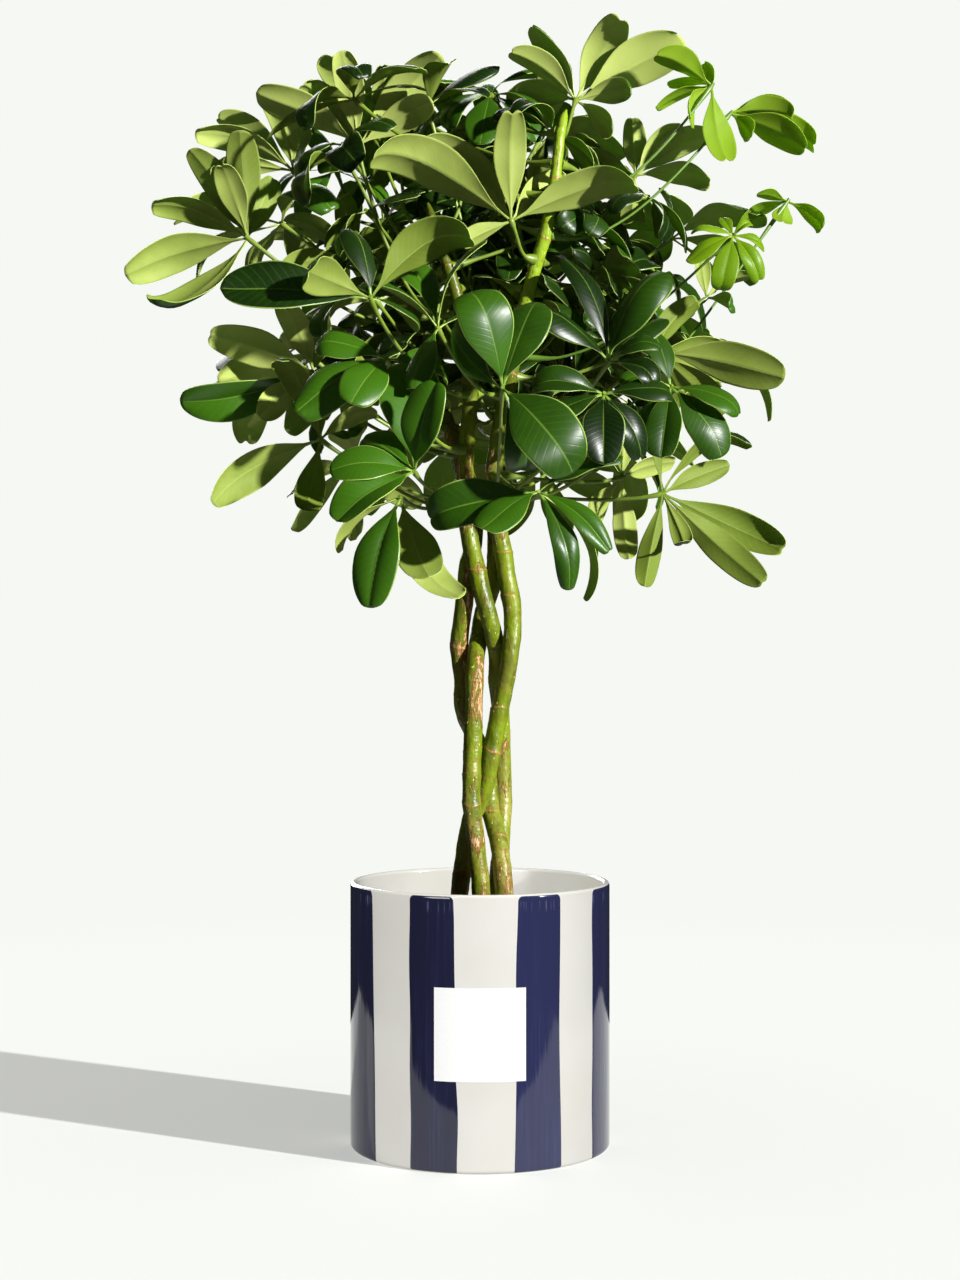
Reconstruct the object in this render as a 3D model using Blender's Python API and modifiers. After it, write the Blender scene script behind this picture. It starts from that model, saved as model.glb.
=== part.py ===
"""A potted umbrella plant (Schefflera arboricola) with four braided stems, in a striped cover pot.

Metres, +Z up. The origin is the middle of the cover pot's underside, and -Y is the front, where the label is.
Places in the leaf plan are in millimetres and degrees, which read more easily, and are turned into metres
where they are used.
"""

import math
import random

import bmesh
import bpy
from mathutils import Quaternion, Vector
from mathutils.bvhtree import BVHTree

MM = 0.001
GAP = 0.0003  # left between neighbouring solids
MERGE = 0.00001

# Cover pot: a plain glazed cylinder
POT_RADIUS = 0.095
POT_HEIGHT = 0.194
POT_WALL = 0.0045
POT_FLOOR = 0.007
POT_EDGE = 0.003
POT_STEPS = 48

# Square paper label, wrapped on the front of the pot
LABEL_SIDE = 0.065
LABEL_THICKNESS = 0.0004
LABEL_MIDDLE = 0.097
LABEL_STEPS = 8

# Nursery pot that the plant grows in, standing on the cover pot's floor
NURSERY_RIM_RADIUS = 0.084
NURSERY_FOOT_RADIUS = 0.066
NURSERY_HEIGHT = 0.149
NURSERY_WALL = 0.0014
NURSERY_RIM_BAND = 0.012
NURSERY_RIM_STEP = 0.003
NURSERY_STEPS = 36
DRAIN_HOLES = 6
DRAIN_RADIUS = 0.006
DRAIN_CIRCLE = 0.042

# Soil
SOIL_TOP = 0.141
SOIL_MOUND = 0.005

# Stems
STEM_RADIUS = 0.0068
STEM_TIP_RADIUS = 0.0036
STEM_SPACING = 0.018
SHOOTS_START = 0.46  # height above which leaves grow from the stems

# Compound leaves
PETIOLE_RADIUS = 0.0015
PETIOLE_STEPS = 4
HUB_RADIUS = 0.0025
HUB_HEIGHT = 0.004
STALK = 0.11  # part of a leaflet's length that is its own stalk
STALK_HALF_WIDTH = 0.0009
KEEL = 0.0012
LEAFLET_STATIONS = (0.15, 0.6, 0.97)
CLEARANCE = 0.0018
PETIOLE_CLEARANCE = 0.0008

# Each stem's route from the soil to the top of its shoot, as (x, y, z) in millimetres. The four cross
# over and under each other loosely up to the crown, and then spread.
STEM_ROUTES = {
    "stem_1": [(-20, 3, 122), (-19, 4, 150), (-15, 5, 185), (-10, 6, 223), (-5, 4, 243), (3, 0, 260),
        (7, -4, 280), (11, -5, 302), (15, -6, 322), (19, -9, 342), (22, -14, 361), (24, -12, 380),
        (23, -5, 400), (20, -3, 416), (17, -3, 436), (13, -5, 455), (9, -7, 475), (12, -12, 511),
        (19, -20, 548), (28, -30, 592), (35, -38, 622), (41, -42, 643), (47, -45, 662), (52, -46, 688),
        (55, -46, 712), (58, -44, 736), (62, -38, 752)],
    "stem_2": [(4, -9, 122), (3, -9, 150), (1, -9, 185), (-3, -10, 223), (-6, -11, 250), (-6, -10, 272),
        (-5, -9, 306), (-4, -10, 342), (-3, -3, 360), (-1, 5, 372), (1, 10, 384), (5, 12, 400),
        (10, 12, 416), (12, 12, 436), (12, 11, 455), (11, 11, 475), (16, 24, 510), (24, 42, 550),
        (34, 58, 590), (44, 70, 630), (50, 80, 670), (54, 86, 705)],
    "stem_3": [(22, -7, 122), (20, -7, 150), (18, -6, 185), (16, -4, 207), (13, 4, 226), (8, 12, 243),
        (7, 17, 257), (5, 18, 272), (1, 15, 289), (-7, 10, 306), (-12, 6, 320), (-13, 5, 342),
        (-15, 6, 361), (-15, 3, 374), (-13, -1, 388), (-11, -1, 404), (-9, 4, 425), (-5, 7, 442),
        (-5, 9, 475), (-16, 22, 510), (-30, 36, 550), (-44, 46, 590), (-56, 52, 630), (-66, 58, 670),
        (-72, 60, 705)],
    "stem_4": [(13, 9, 122), (13, 10, 150), (13, 11, 185), (15, 15, 207), (16, 20, 226), (17, 25, 243),
        (17, 27, 260), (16, 25, 296), (15, 19, 322), (13, 10, 340), (13, 0, 359), (10, -8, 375),
        (6, -11, 390), (2, -12, 404), (-3, -11, 425), (-7, -8, 442), (-11, -7, 475), (-10, -12, 510),
        (-7, -18, 550), (-10, -24, 590), (-18, -28, 625), (-28, -28, 655), (-38, -24, 688)],
}

# The leaves of the front and the outline. Each has its hub, where the leaflets meet, the way that its
# umbrella faces, half of a leaflet's width as part of its length, and its leaflets. A direction is its angle
# in the front view, from +X towards +Z, and its tilt towards the front. A leaflet adds its length, and
# some add a roll about their own length and how broad they are.
LEAF_PLAN = [
    ("leaf_left_wing", (-170, -10, 665), (95, -58), 0.155,
     [(-165, 0, 95), (-140, 12, 100, 65), (155, -5, 75), (122, -10, 85), (108, 25, 62), (94, 0, 80),
      (72, -30, 65)]),
    ("leaf_left_upper", (-140, 25, 722), (78, -50), 0.16,
     [(155, 0, 80), (172, 15, 65), (140, -20, 80), (112, -10, 65), (92, -45, 75)]),
    ("leaf_upper_left", (-90, 0, 735), (78, -52), 0.16,
     [(155, 0, 88), (138, 5, 72), (99, 5, 70), (48, 0, 90), (27, 20, 68), (120, -40, 60)]),
    ("leaf_centre_top", (22, -70, 666), (90, -56), 0.15,
     [(149, 0, 116), (133, -20, 104), (90, 0, 80), (21, 0, 96), (50, -45, 80), (-150, 30, 45)]),
    ("leaf_crown", (70, -10, 766), (76, -52), 0.185,
     [(145, 10, 62, -18), (120, 0, 66, -24), (61, 0, 71), (28, 5, 90), (8, 20, 50), (-45, 25, 46),
      (160, -35, 62)]),
    ("leaf_young_top", (168, -25, 773), (100, -30), 0.22,
     [(152, 15, 48, 0, 1.15), (-120, 25, 42, 0, 1.1), (-80, 8, 62, 0, 0.8), (-162, -20, 45, 0, 0.7),
      (168, -35, 38, 0, 0.5), (100, -30, 24)]),
    ("leaf_young_tip", (183, -12, 756), (95, -40), 0.2,
     [(-4, 8, 48, 0, 1.1), (8, -14, 56), (-18, -4, 62), (-9, -22, 80, 0, 0.7), (-55, 25, 30, 0, 1.2)]),
    ("leaf_young_right", (225, -10, 692), (80, -40), 0.23,
     [(-38, 10, 37), (-106, 25, 21, 0, 1.6), (166, 10, 24), (-167, -25, 40, 0, 0.5)]),
    ("leaf_young_front", (176, -90, 652), (85, 45), 0.17,
     [(167, 10, 32), (-153, 12, 39), (-104, 12, 46), (-72, 12, 38), (-26, 0, 26), (30, -15, 18),
      (84, -10, 20)]),
    ("leaf_left_middle", (-74, -130, 602), (75, 25), 0.2,
     [(177, 5, 102, -40), (160, 38, 68, 100), (41, -5, 84, -90), (104, -20, 62), (-20, -40, 50)]),
    ("leaf_left_low", (-120, -35, 564), (95, -60), 0.155,
     [(160, 0, 82), (-165, 10, 100, 168), (113, 0, 58), (178, -25, 80), (-145, 25, 65), (85, -35, 60)]),
    ("leaf_low_left", (-113, -60, 513), (95, -55), 0.155,
     [(-152, 5, 92), (-98, 30, 68), (140, 0, 74), (35, -20, 50), (100, -35, 60)]),
    ("leaf_low_front", (-44, -138, 484), (90, 50), 0.25,
     [(76, 20, 66), (101, -20, 88), (140, -25, 54), (178, 15, 60), (-148, 30, 70)]),
    ("leaf_low_hanging", (-54, -118, 468), (95, 20), 0.2,
     [(-105, 14, 84), (-77, 26, 66, 180, 1.2), (-60, 6, 82, 180, 0.8), (-140, -12, 60)]),
    ("leaf_centre", (15, -155, 538), (85, 62), 0.24,
     [(106, 15, 76), (70, -15, 72), (-50, 25, 86), (-72, -20, 68), (128, -25, 66, -60)]),
    ("leaf_centre_low", (39, -145, 470), (90, 28), 0.18,
     [(-142, 35, 60, 0, 1.2), (-168, 0, 80, -45, 1.2), (-70, 15, 73, 0, 0.7), (-47, 10, 67, 0, 0.7),
      (-60, -26, 92, 0, 0.8), (28, 10, 62)]),
    ("leaf_right_middle", (88, -115, 561), (90, 38), 0.22,
     [(142, 10, 70, 0, 1.1), (110, -10, 84, 30, 0.6), (76, 5, 78, -20, 1.1), (40, -20, 58), (22, 30, 42),
      (-20, 40, 44)]),
    ("leaf_right_front", (83, -140, 536), (90, 52), 0.23,
     [(170, 15, 52), (-92, 25, 58), (-56, 5, 52), (-135, 30, 60), (8, 5, 52)]),
    ("leaf_right_near", (132, -95, 546), (90, 32), 0.2,
     [(172, 30, 42), (-18, 12, 55, 0, 1.25), (-52, 15, 62, 0, 1.25), (-84, 30, 60), (-118, 0, 52),
      (105, -20, 50)]),
    ("leaf_right_wing", (125, -70, 574), (90, -62), 0.165,
     [(-13, 4, 92, 6, 1.1), (-34, -22, 74), (0, -50, 104), (48, -30, 58)]),
    ("leaf_low_right", (130, -55, 475), (90, -66), 0.16,
     [(-25, 0, 97, -16, 0.85), (-43, 10, 98, -16, 0.7), (-102, 10, 70, 0, 0.8), (-70, 25, 52, 0, 0.8),
      (42, 5, 80, 60, 0.75), (82, 10, 78, 40, 0.75), (24, -25, 62, 0, 0.8)]),
    ("leaf_front_left", (-29, -100, 586), (95, 0), 0.2,
     [(72, 0, 72), (118, -25, 70), (165, 20, 62), (30, -45, 64), (-112, 40, 62)]),
    ("leaf_left_near", (-64, -105, 564), (80, 45), 0.22,
     [(-147, 20, 78), (175, 5, 58), (-102, 35, 62), (40, -30, 62)]),
    ("leaf_left_back", (-95, 20, 655), (90, -50), 0.17,
     [(100, 0, 52), (72, -10, 50), (145, 0, 60), (-172, 15, 56), (20, -20, 56)]),
    ("leaf_right_inner", (115, 10, 715), (90, -45), 0.18,
     [(92, -10, 48), (62, -15, 54), (38, 0, 66), (-2, 10, 58), (-95, 30, 50), (150, -25, 54)]),
    ("leaf_dark_top", (8, 20, 778), (90, 10), 0.22,
     [(-165, 15, 78), (172, -10, 66), (-135, 35, 62), (-100, 40, 60), (-60, 35, 60), (-25, 20, 56),
      (30, -10, 46)]),
    ("leaf_left_shade", (-110, 60, 730), (90, 15), 0.2,
     [(-170, 20, 56), (130, -20, 58), (-35, 30, 58), (35, 0, 54), (-105, 35, 58)]),
    ("leaf_low_inner", (104, -10, 490), (95, -50), 0.16,
     [(-86, 0, 62, 0, 0.9), (-126, 10, 44, 0, 1.2), (150, -30, 50), (95, -30, 54), (20, -40, 58)]),
    ("leaf_right_small", (165, -20, 620), (80, -40), 0.16,
     [(25, -10, 40), (0, 0, 42), (-18, 10, 46), (-50, 30, 38), (80, -20, 36)]),
]

# The leaves of the back and of the inside stand in rings: name, how many, first and last azimuth seen from
# above, height, distance from the middle, outward lean of the umbrella, cup of the leaflets, leaflet length
LEAF_RINGS = [
    ("leaf_back_low", 4, 38, 142, 520, 138, 0.9, -14, 86),
    ("leaf_back_middle", 6, 12, 150, 604, 172, 0.8, -6, 86),
    ("leaf_back_high", 5, 25, 160, 676, 158, 0.6, 4, 84),
    ("leaf_top", 3, 60, 150, 748, 70, 0.3, 14, 78),
    ("leaf_inner", 4, 5, 175, 628, 84, 0.7, 6, 74),
]
RING_LEAFLETS = 7
RING_BREADTH = 0.18
RING_WOBBLE = 14  # millimetres that a ring's hubs stray from it

# How steeply petioles climb, in degrees, and those that climb more steeply
CLIMB = 25
STEEP_PETIOLES = {
    "leaf_centre_top": 75, "leaf_upper_left": 55, "leaf_crown": 80, "leaf_young_top": 45,
    "leaf_young_tip": 45, "leaf_young_right": 45,
}

# Degrees that a leaflet may roll about its own length, in the plan and in the rings, and that it arches
PLAN_SWAY = 9
RING_SWAY = 24
ARCH = (20, 62)

COLOURS = {
    "glaze": ((0.77, 0.75, 0.69, 1.0), 0.25),
    "paper": ((0.94, 0.94, 0.93, 1.0), 0.7),
    "black_plastic": ((0.02, 0.02, 0.02, 1.0), 0.5),
    "soil": ((0.045, 0.03, 0.02, 1.0), 0.95),
    "green_bark": ((0.13, 0.25, 0.05, 1.0), 0.6),
    "leaf": ((0.06, 0.19, 0.03, 1.0), 0.35),
}


# Scene ---------------------------------------------------------------------------------------------------

def clear_scene():
    for item in list(bpy.data.objects):
        bpy.data.objects.remove(item, do_unlink=True)


def make_collection(name):
    group = bpy.data.collections.new(name)
    bpy.context.scene.collection.children.link(group)
    return group


def make_material(name):
    colour, roughness = COLOURS[name]
    material = bpy.data.materials.new(name)
    material.use_nodes = True
    shader = material.node_tree.nodes["Principled BSDF"]
    shader.inputs["Base Color"].default_value = colour
    shader.inputs["Roughness"].default_value = roughness
    shader.inputs["Metallic"].default_value = 0.0
    return material


def add_object(name, mesh, group, material_name):
    item = bpy.data.objects.new(name, mesh)
    item.data.materials.append(make_material(material_name))
    group.objects.link(item)
    return item


def add_cutter(name, mesh, group):
    item = bpy.data.objects.new(name, mesh)
    item.display_type = "WIRE"
    item.hide_render = True
    group.objects.link(item)
    return item


def boolean(item, cutter, operation):
    modifier = item.modifiers.new(f"{operation.title()} {cutter.name}", "BOOLEAN")
    modifier.operation = operation
    modifier.solver = "EXACT"
    modifier.use_self = operation == "UNION"
    modifier.object = cutter


# Shapes --------------------------------------------------------------------------------------------------

def arc(centre_x, centre_z, radius, start, end, steps):
    """Points of an arc in a turned profile, in degrees from +X towards +Z."""
    angles = [math.radians(start + (end - start) * i / steps) for i in range(steps + 1)]
    return [(centre_x + radius * math.cos(a), centre_z + radius * math.sin(a)) for a in angles]


def turned(name, profile, steps, group, material_name):
    """A profile from the axis to the outer side, and down it back to the axis, turned round Z."""
    mesh = bpy.data.meshes.new(name)
    edges = [(i, i + 1) for i in range(len(profile) - 1)]
    mesh.from_pydata([(x, 0.0, z) for x, z in profile], edges, [])
    item = add_object(name, mesh, group, material_name)
    screw = item.modifiers.new("Turn", "SCREW")
    screw.axis = "Z"
    screw.angle = math.tau
    screw.steps = steps
    screw.render_steps = steps
    screw.use_merge_vertices = True
    screw.merge_threshold = MERGE
    return item


def tube_mesh(name, points, radii, resolution):
    """A closed tube along the points, made as a bevelled curve and turned into a mesh."""
    curve = bpy.data.curves.new(name, "CURVE")
    curve.dimensions = "3D"
    curve.bevel_depth = 1.0
    curve.bevel_resolution = resolution
    curve.use_fill_caps = True
    spline = curve.splines.new("POLY")
    spline.points.add(len(points) - 1)
    for spot, point, radius in zip(spline.points, points, radii):
        spot.co = (*point, 1.0)
        spot.radius = radius
    item = bpy.data.objects.new(name, curve)
    bpy.context.scene.collection.objects.link(item)
    graph = bpy.context.evaluated_depsgraph_get()
    mesh = bpy.data.meshes.new_from_object(item.evaluated_get(graph))
    bpy.data.objects.remove(item, do_unlink=True)
    bpy.data.curves.remove(curve)
    shape = bmesh.new()
    shape.from_mesh(mesh)
    bmesh.ops.remove_doubles(shape, verts=shape.verts, dist=MERGE)
    bmesh.ops.recalc_face_normals(shape, faces=shape.faces)
    shape.to_mesh(mesh)
    shape.free()
    mesh.name = name
    return mesh


def smooth_route(points, spacing):
    """Points about one spacing apart on a smooth curve through the given ones (Catmull-Rom)."""
    ends = [points[0] * 2 - points[1], *points, points[-1] * 2 - points[-2]]
    route = []
    for i in range(1, len(ends) - 2):
        before, start, end, after = ends[i - 1:i + 3]
        steps = max(1, round((end - start).length / spacing))
        for step in range(steps):
            t = step / steps
            route.append(0.5 * (
                2 * start + (end - before) * t
                + (2 * before - 5 * start + 4 * end - after) * t ** 2
                + (3 * start - before - 3 * end + after) * t ** 3
            ))
    route.append(points[-1])
    return route


def loft(shape, rings):
    """Adds a closed skin through rings of the same number of points to a bmesh."""
    rows = [[shape.verts.new(point) for point in ring] for ring in rings]
    count = len(rows[0])
    for lower, upper in zip(rows, rows[1:]):
        for i in range(count):
            j = (i + 1) % count
            shape.faces.new((lower[i], lower[j], upper[j], upper[i]))
    shape.faces.new(tuple(reversed(rows[0])))
    shape.faces.new(tuple(rows[-1]))


# Pots, soil and label ------------------------------------------------------------------------------------

def make_cover_pot(group):
    inside = POT_RADIUS - POT_WALL
    rim = POT_WALL / 2
    profile = [(0.0, POT_FLOOR)]
    profile += arc(inside - POT_EDGE * 2, POT_FLOOR + POT_EDGE * 2, POT_EDGE * 2, -90, 0, 3)
    profile += arc(inside + rim, POT_HEIGHT - rim, rim, 180, 0, 6)
    profile += arc(POT_RADIUS - POT_EDGE, POT_EDGE, POT_EDGE, 0, -90, 3)
    profile += [(0.0, 0.0)]
    return turned("cover_pot", profile, POT_STEPS, group, "glaze")


def make_label(group):
    shape = bmesh.new()
    bmesh.ops.create_grid(shape, x_segments=LABEL_STEPS, y_segments=1, size=LABEL_SIDE / 2)
    radius = POT_RADIUS + 1.3 * GAP
    for vertex in shape.verts:
        angle = vertex.co.x / radius
        height = LABEL_MIDDLE + vertex.co.y
        vertex.co = (radius * math.sin(angle), -radius * math.cos(angle), height)
    mesh = bpy.data.meshes.new("label")
    shape.to_mesh(mesh)
    shape.free()
    item = add_object("label", mesh, group, "paper")
    shell = item.modifiers.new("Paper", "SOLIDIFY")
    shell.thickness = LABEL_THICKNESS
    shell.offset = 1.0
    return item


def make_nursery_pot(group, cutters):
    base = POT_FLOOR + GAP
    top = base + NURSERY_HEIGHT
    band = top - NURSERY_RIM_BAND
    neck = NURSERY_RIM_RADIUS - NURSERY_RIM_STEP
    wall = NURSERY_WALL
    profile = [
        (0.0, base + wall),
        (NURSERY_FOOT_RADIUS - wall, base + wall),
        (neck - wall, band),
        (NURSERY_RIM_RADIUS - wall, band + 0.002),
        (NURSERY_RIM_RADIUS - wall, top),
        (NURSERY_RIM_RADIUS, top),
        (NURSERY_RIM_RADIUS, band),
        (neck, band - 0.001),
        (NURSERY_FOOT_RADIUS + 0.001, base + 0.001),
        (NURSERY_FOOT_RADIUS, base),
        (0.0, base),
    ]
    item = turned("nursery_pot", profile, NURSERY_STEPS, group, "black_plastic")
    shape = bmesh.new()
    for i in range(DRAIN_HOLES):
        angle = math.tau * (i + 0.5) / DRAIN_HOLES
        hole = bmesh.ops.create_cone(
            shape, cap_ends=True, segments=10, radius1=DRAIN_RADIUS, radius2=DRAIN_RADIUS, depth=wall * 4)
        place = Vector((DRAIN_CIRCLE * math.cos(angle), DRAIN_CIRCLE * math.sin(angle), base))
        bmesh.ops.translate(shape, verts=hole["verts"], vec=place)
    mesh = bpy.data.meshes.new("drain_holes")
    shape.to_mesh(mesh)
    shape.free()
    boolean(item, add_cutter("drain_holes", mesh, cutters), "DIFFERENCE")
    return item


def make_soil(group, cutters, stems):
    """The soil fills the nursery pot, rises a little to the middle and has a socket for each stem."""
    base = POT_FLOOR + GAP + NURSERY_WALL + GAP
    band = POT_FLOOR + GAP + NURSERY_HEIGHT - NURSERY_RIM_BAND
    foot = NURSERY_FOOT_RADIUS - NURSERY_WALL - 2 * GAP
    neck = NURSERY_RIM_RADIUS - NURSERY_RIM_STEP - NURSERY_WALL - 2 * GAP
    shoulder = SOIL_TOP - 0.002
    edge = foot + (neck - foot) * (shoulder - base) / (band - base)
    profile = [(0.0, SOIL_TOP + SOIL_MOUND)]
    for i in range(1, 5):
        out = i / 4
        profile.append(((edge - 0.002) * out, SOIL_TOP + SOIL_MOUND * math.cos(math.pi / 2 * out) ** 2))
    profile += [(edge, shoulder), (foot, base), (0.0, base)]
    item = turned("soil", profile, NURSERY_STEPS, group, "soil")
    for name, (route, radii) in stems.items():
        buried = [point for point in route if point.z < SOIL_TOP + 0.03]
        buried[0] = buried[0] - Vector((0, 0, GAP * 2))
        socket = tube_mesh(f"{name}_socket", buried, [r + GAP * 1.5 for r in radii[:len(buried)]], 2)
        boolean(item, add_cutter(f"{name}_socket", socket, cutters), "DIFFERENCE")
    return item


# Stems ---------------------------------------------------------------------------------------------------

def stem_lines():
    """Each stem's route, and its radius at each point, thinner towards the top of the shoot."""
    lines = {}
    for name, points in STEM_ROUTES.items():
        route = smooth_route([Vector(point) * MM for point in points], STEM_SPACING)
        top = route[-1].z
        radii = []
        for point in route:
            along = max(0.0, (point.z - SHOOTS_START) / (top - SHOOTS_START))
            radii.append(STEM_RADIUS + (STEM_TIP_RADIUS - STEM_RADIUS) * along)
        lines[name] = (route, radii)
    return lines


# Growing the leaves: every petiole and leaflet finds a place clear of what already grows ------------------

def front_direction(angle, towards):
    """A unit vector from its angle in the front view and its tilt towards the front, in degrees."""
    a = math.radians(angle)
    t = math.radians(towards)
    return Vector((math.cos(a) * math.cos(t), -math.sin(t), math.sin(a) * math.cos(t)))


def planned_leaves():
    """The leaves of the plan, and those of the rings, as dictionaries of vectors."""
    leaves = []
    for name, hub, facing, breadth, leaflets in LEAF_PLAN:
        leaves.append({
            "name": name, "hub": Vector(hub) * MM, "axis": front_direction(*facing), "breadth": breadth,
            "spokes": [spoke_of(*leaflet) for leaflet in leaflets], "sway": PLAN_SWAY,
        })
    chance = random.Random(11)
    for name, count, first, last, height, reach, lean, cup, length in LEAF_RINGS:
        for i in range(count):
            azimuth = math.radians(first + (last - first) * i / (count - 1))
            outward = Vector((math.cos(azimuth), math.sin(azimuth), 0.0))
            stray = Vector([chance.uniform(-RING_WOBBLE, RING_WOBBLE) for _ in range(3)])
            hub = (outward * reach + Vector((0, 0, height)) + stray) * MM
            axis = (outward * lean + Vector((0, 0, 1))).normalized()
            spokes = ring_spokes(axis, cup, length * MM, chance)
            leaves.append({
                "name": f"{name}_{i + 1}", "hub": hub, "axis": axis, "breadth": RING_BREADTH,
                "spokes": spokes, "sway": RING_SWAY,
            })
    return leaves


def spoke_of(angle, towards, length, roll=0, broad=1.0):
    return front_direction(angle, towards), length * MM, roll, broad


def ring_spokes(axis, cup, length, chance):
    """Leaflets spread evenly round the axis, raised above or hanging below its plane by the cup angle."""
    start = axis.orthogonal().normalized()
    turn = chance.uniform(0, math.tau)
    spokes = []
    for i in range(RING_LEAFLETS):
        around = turn + math.tau * i / RING_LEAFLETS
        outward = Quaternion(axis, around) @ start
        rise = math.radians(cup + chance.uniform(-9, 9))
        way = outward * math.cos(rise) + axis * math.sin(rise)
        spokes.append((way, length * chance.uniform(0.8, 1.08), 0, 1.0))
    return spokes


def half_width(leaflet, t):
    """Half of a leaflet's width at t along it: a thin stalk, then a blade that is widest past its middle."""
    if t <= STALK:
        return STALK_HALF_WIDTH
    u = min(0.999, (t - STALK) / (1 - STALK))
    outline = math.sin(math.pi * u ** 1.35) ** (0.95 - 0.4 * u)
    return STALK_HALF_WIDTH + leaflet["half"] * outline


def station(leaflet, t):
    """The midrib's point at t along a leaflet and the blade's upward normal there: it arches as it goes."""
    bend = leaflet["bend"]
    turn = bend * (t - 0.5)
    radius = leaflet["length"] / bend
    reach = radius * (math.sin(turn) + math.sin(bend / 2))
    rise = radius * (math.cos(turn) - math.cos(bend / 2))
    point = leaflet["hub"] + leaflet["along"] * reach + leaflet["normal"] * rise
    return point, leaflet["normal"] * math.cos(turn) + leaflet["along"] * math.sin(turn)


def place_leaflet(leaf, spoke, yaw, pitch, scale, traits):
    """A leaflet of a leaf, turned in its blade's plane by yaw and out of it by pitch."""
    direction, length = spoke[:2]
    normal = leaf["axis"] - direction * leaf["axis"].dot(direction)
    if normal.length < 0.05:
        normal = direction.orthogonal()
    normal.normalize()
    side = normal.cross(direction)
    swing = Quaternion(normal, math.radians(yaw)) @ Quaternion(side, math.radians(pitch))
    along = swing @ direction
    roll = Quaternion(along, math.radians(traits["roll"]))
    normal = roll @ (swing @ normal)
    return {
        "hub": leaf["hub"], "along": along, "normal": normal, "side": normal.cross(along),
        "length": length * scale, "half": length * scale * traits["half"],
        "bend": math.radians(traits["bend"]),
    }


def tree_of(rings):
    """A search tree of a closed skin through the rings, with the ball that holds it."""
    points = [point for ring in rings for point in ring]
    count = len(rings[0])
    faces = [tuple(range(count)), tuple(range(len(points) - count, len(points)))]
    for row in range(len(rings) - 1):
        for i in range(count):
            j = (i + 1) % count
            faces.append((row * count + i, row * count + j, (row + 1) * count + j, (row + 1) * count + i))
    middle = sum(points, Vector()) / len(points)
    reach = max((point - middle).length for point in points)
    return BVHTree.FromPolygons(points, faces), middle, reach


def leaflet_tree(leaflet, start):
    rings = []
    for t in (start, 0.3, 0.5, 0.7, 0.88, 1.0):
        point, lift = station(leaflet, t)
        wide = leaflet["side"] * (half_width(leaflet, t) + CLEARANCE / 2)
        thick = lift * CLEARANCE
        rings.append([point + wide + thick, point - wide + thick, point - wide - thick, point + wide - thick])
    return tree_of(rings)


def tube_tree(route, radii):
    rings = []
    for i, point in enumerate(route):
        along = (route[min(i + 1, len(route) - 1)] - route[max(i - 1, 0)]).normalized()
        across = along.orthogonal().normalized()
        up = along.cross(across)
        turns = [math.tau * k / 6 for k in range(6)]
        rings.append([point + (across * math.cos(a) + up * math.sin(a)) * radii[i] for a in turns])
    return tree_of(rings)


def is_clear(tree, others):
    mesh, middle, reach = tree
    for other, other_middle, other_reach in others:
        near = (middle - other_middle).length < reach + other_reach
        if near and mesh.overlap(other):
            return False
    return True


def petiole_route(foot, outward, hub, axis, bulge):
    """A petiole leaves its stem squarely, curves up and meets its hub from below."""
    arrive = (axis * 0.5 + (hub - foot).normalized()).normalized()
    start = foot + outward * HUB_HEIGHT
    end = hub - arrive * HUB_HEIGHT * 0.7
    span = (end - start).length
    first = start + (outward * 0.3 + Vector((0, 0, bulge))) * span
    last = end - arrive * span * 0.3
    route = [foot]
    for i in range(PETIOLE_STEPS + 1):
        t = i / PETIOLE_STEPS
        route.append(
            start * (1 - t) ** 3 + first * 3 * t * (1 - t) ** 2 + last * 3 * t ** 2 * (1 - t) + end * t ** 3)
    route.append(hub + arrive * HUB_HEIGHT * 0.3)
    return route


def petiole_feet(leaf, stems):
    """Places on the stems for a leaf to grow from, the best first: near, and lower than its hub."""
    feet = []
    wanted = STEEP_PETIOLES.get(leaf["name"], CLIMB)
    for route, radii in stems.values():
        for i in range(1, len(route) - 1):
            point = route[i]
            if point.z < SHOOTS_START:
                continue
            along = (route[i + 1] - route[i - 1]).normalized()
            way = leaf["hub"] - point
            outward = (way - along * way.dot(along)).normalized()
            climb = math.degrees(math.atan2(way.z, Vector((way.x, way.y)).length))
            cost = way.length * (1 + abs(climb - wanted) / 45)
            feet.append((cost, point + outward * (radii[i] + 2 * GAP), outward))
    feet.sort(key=lambda foot: foot[0])
    return feet


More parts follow.
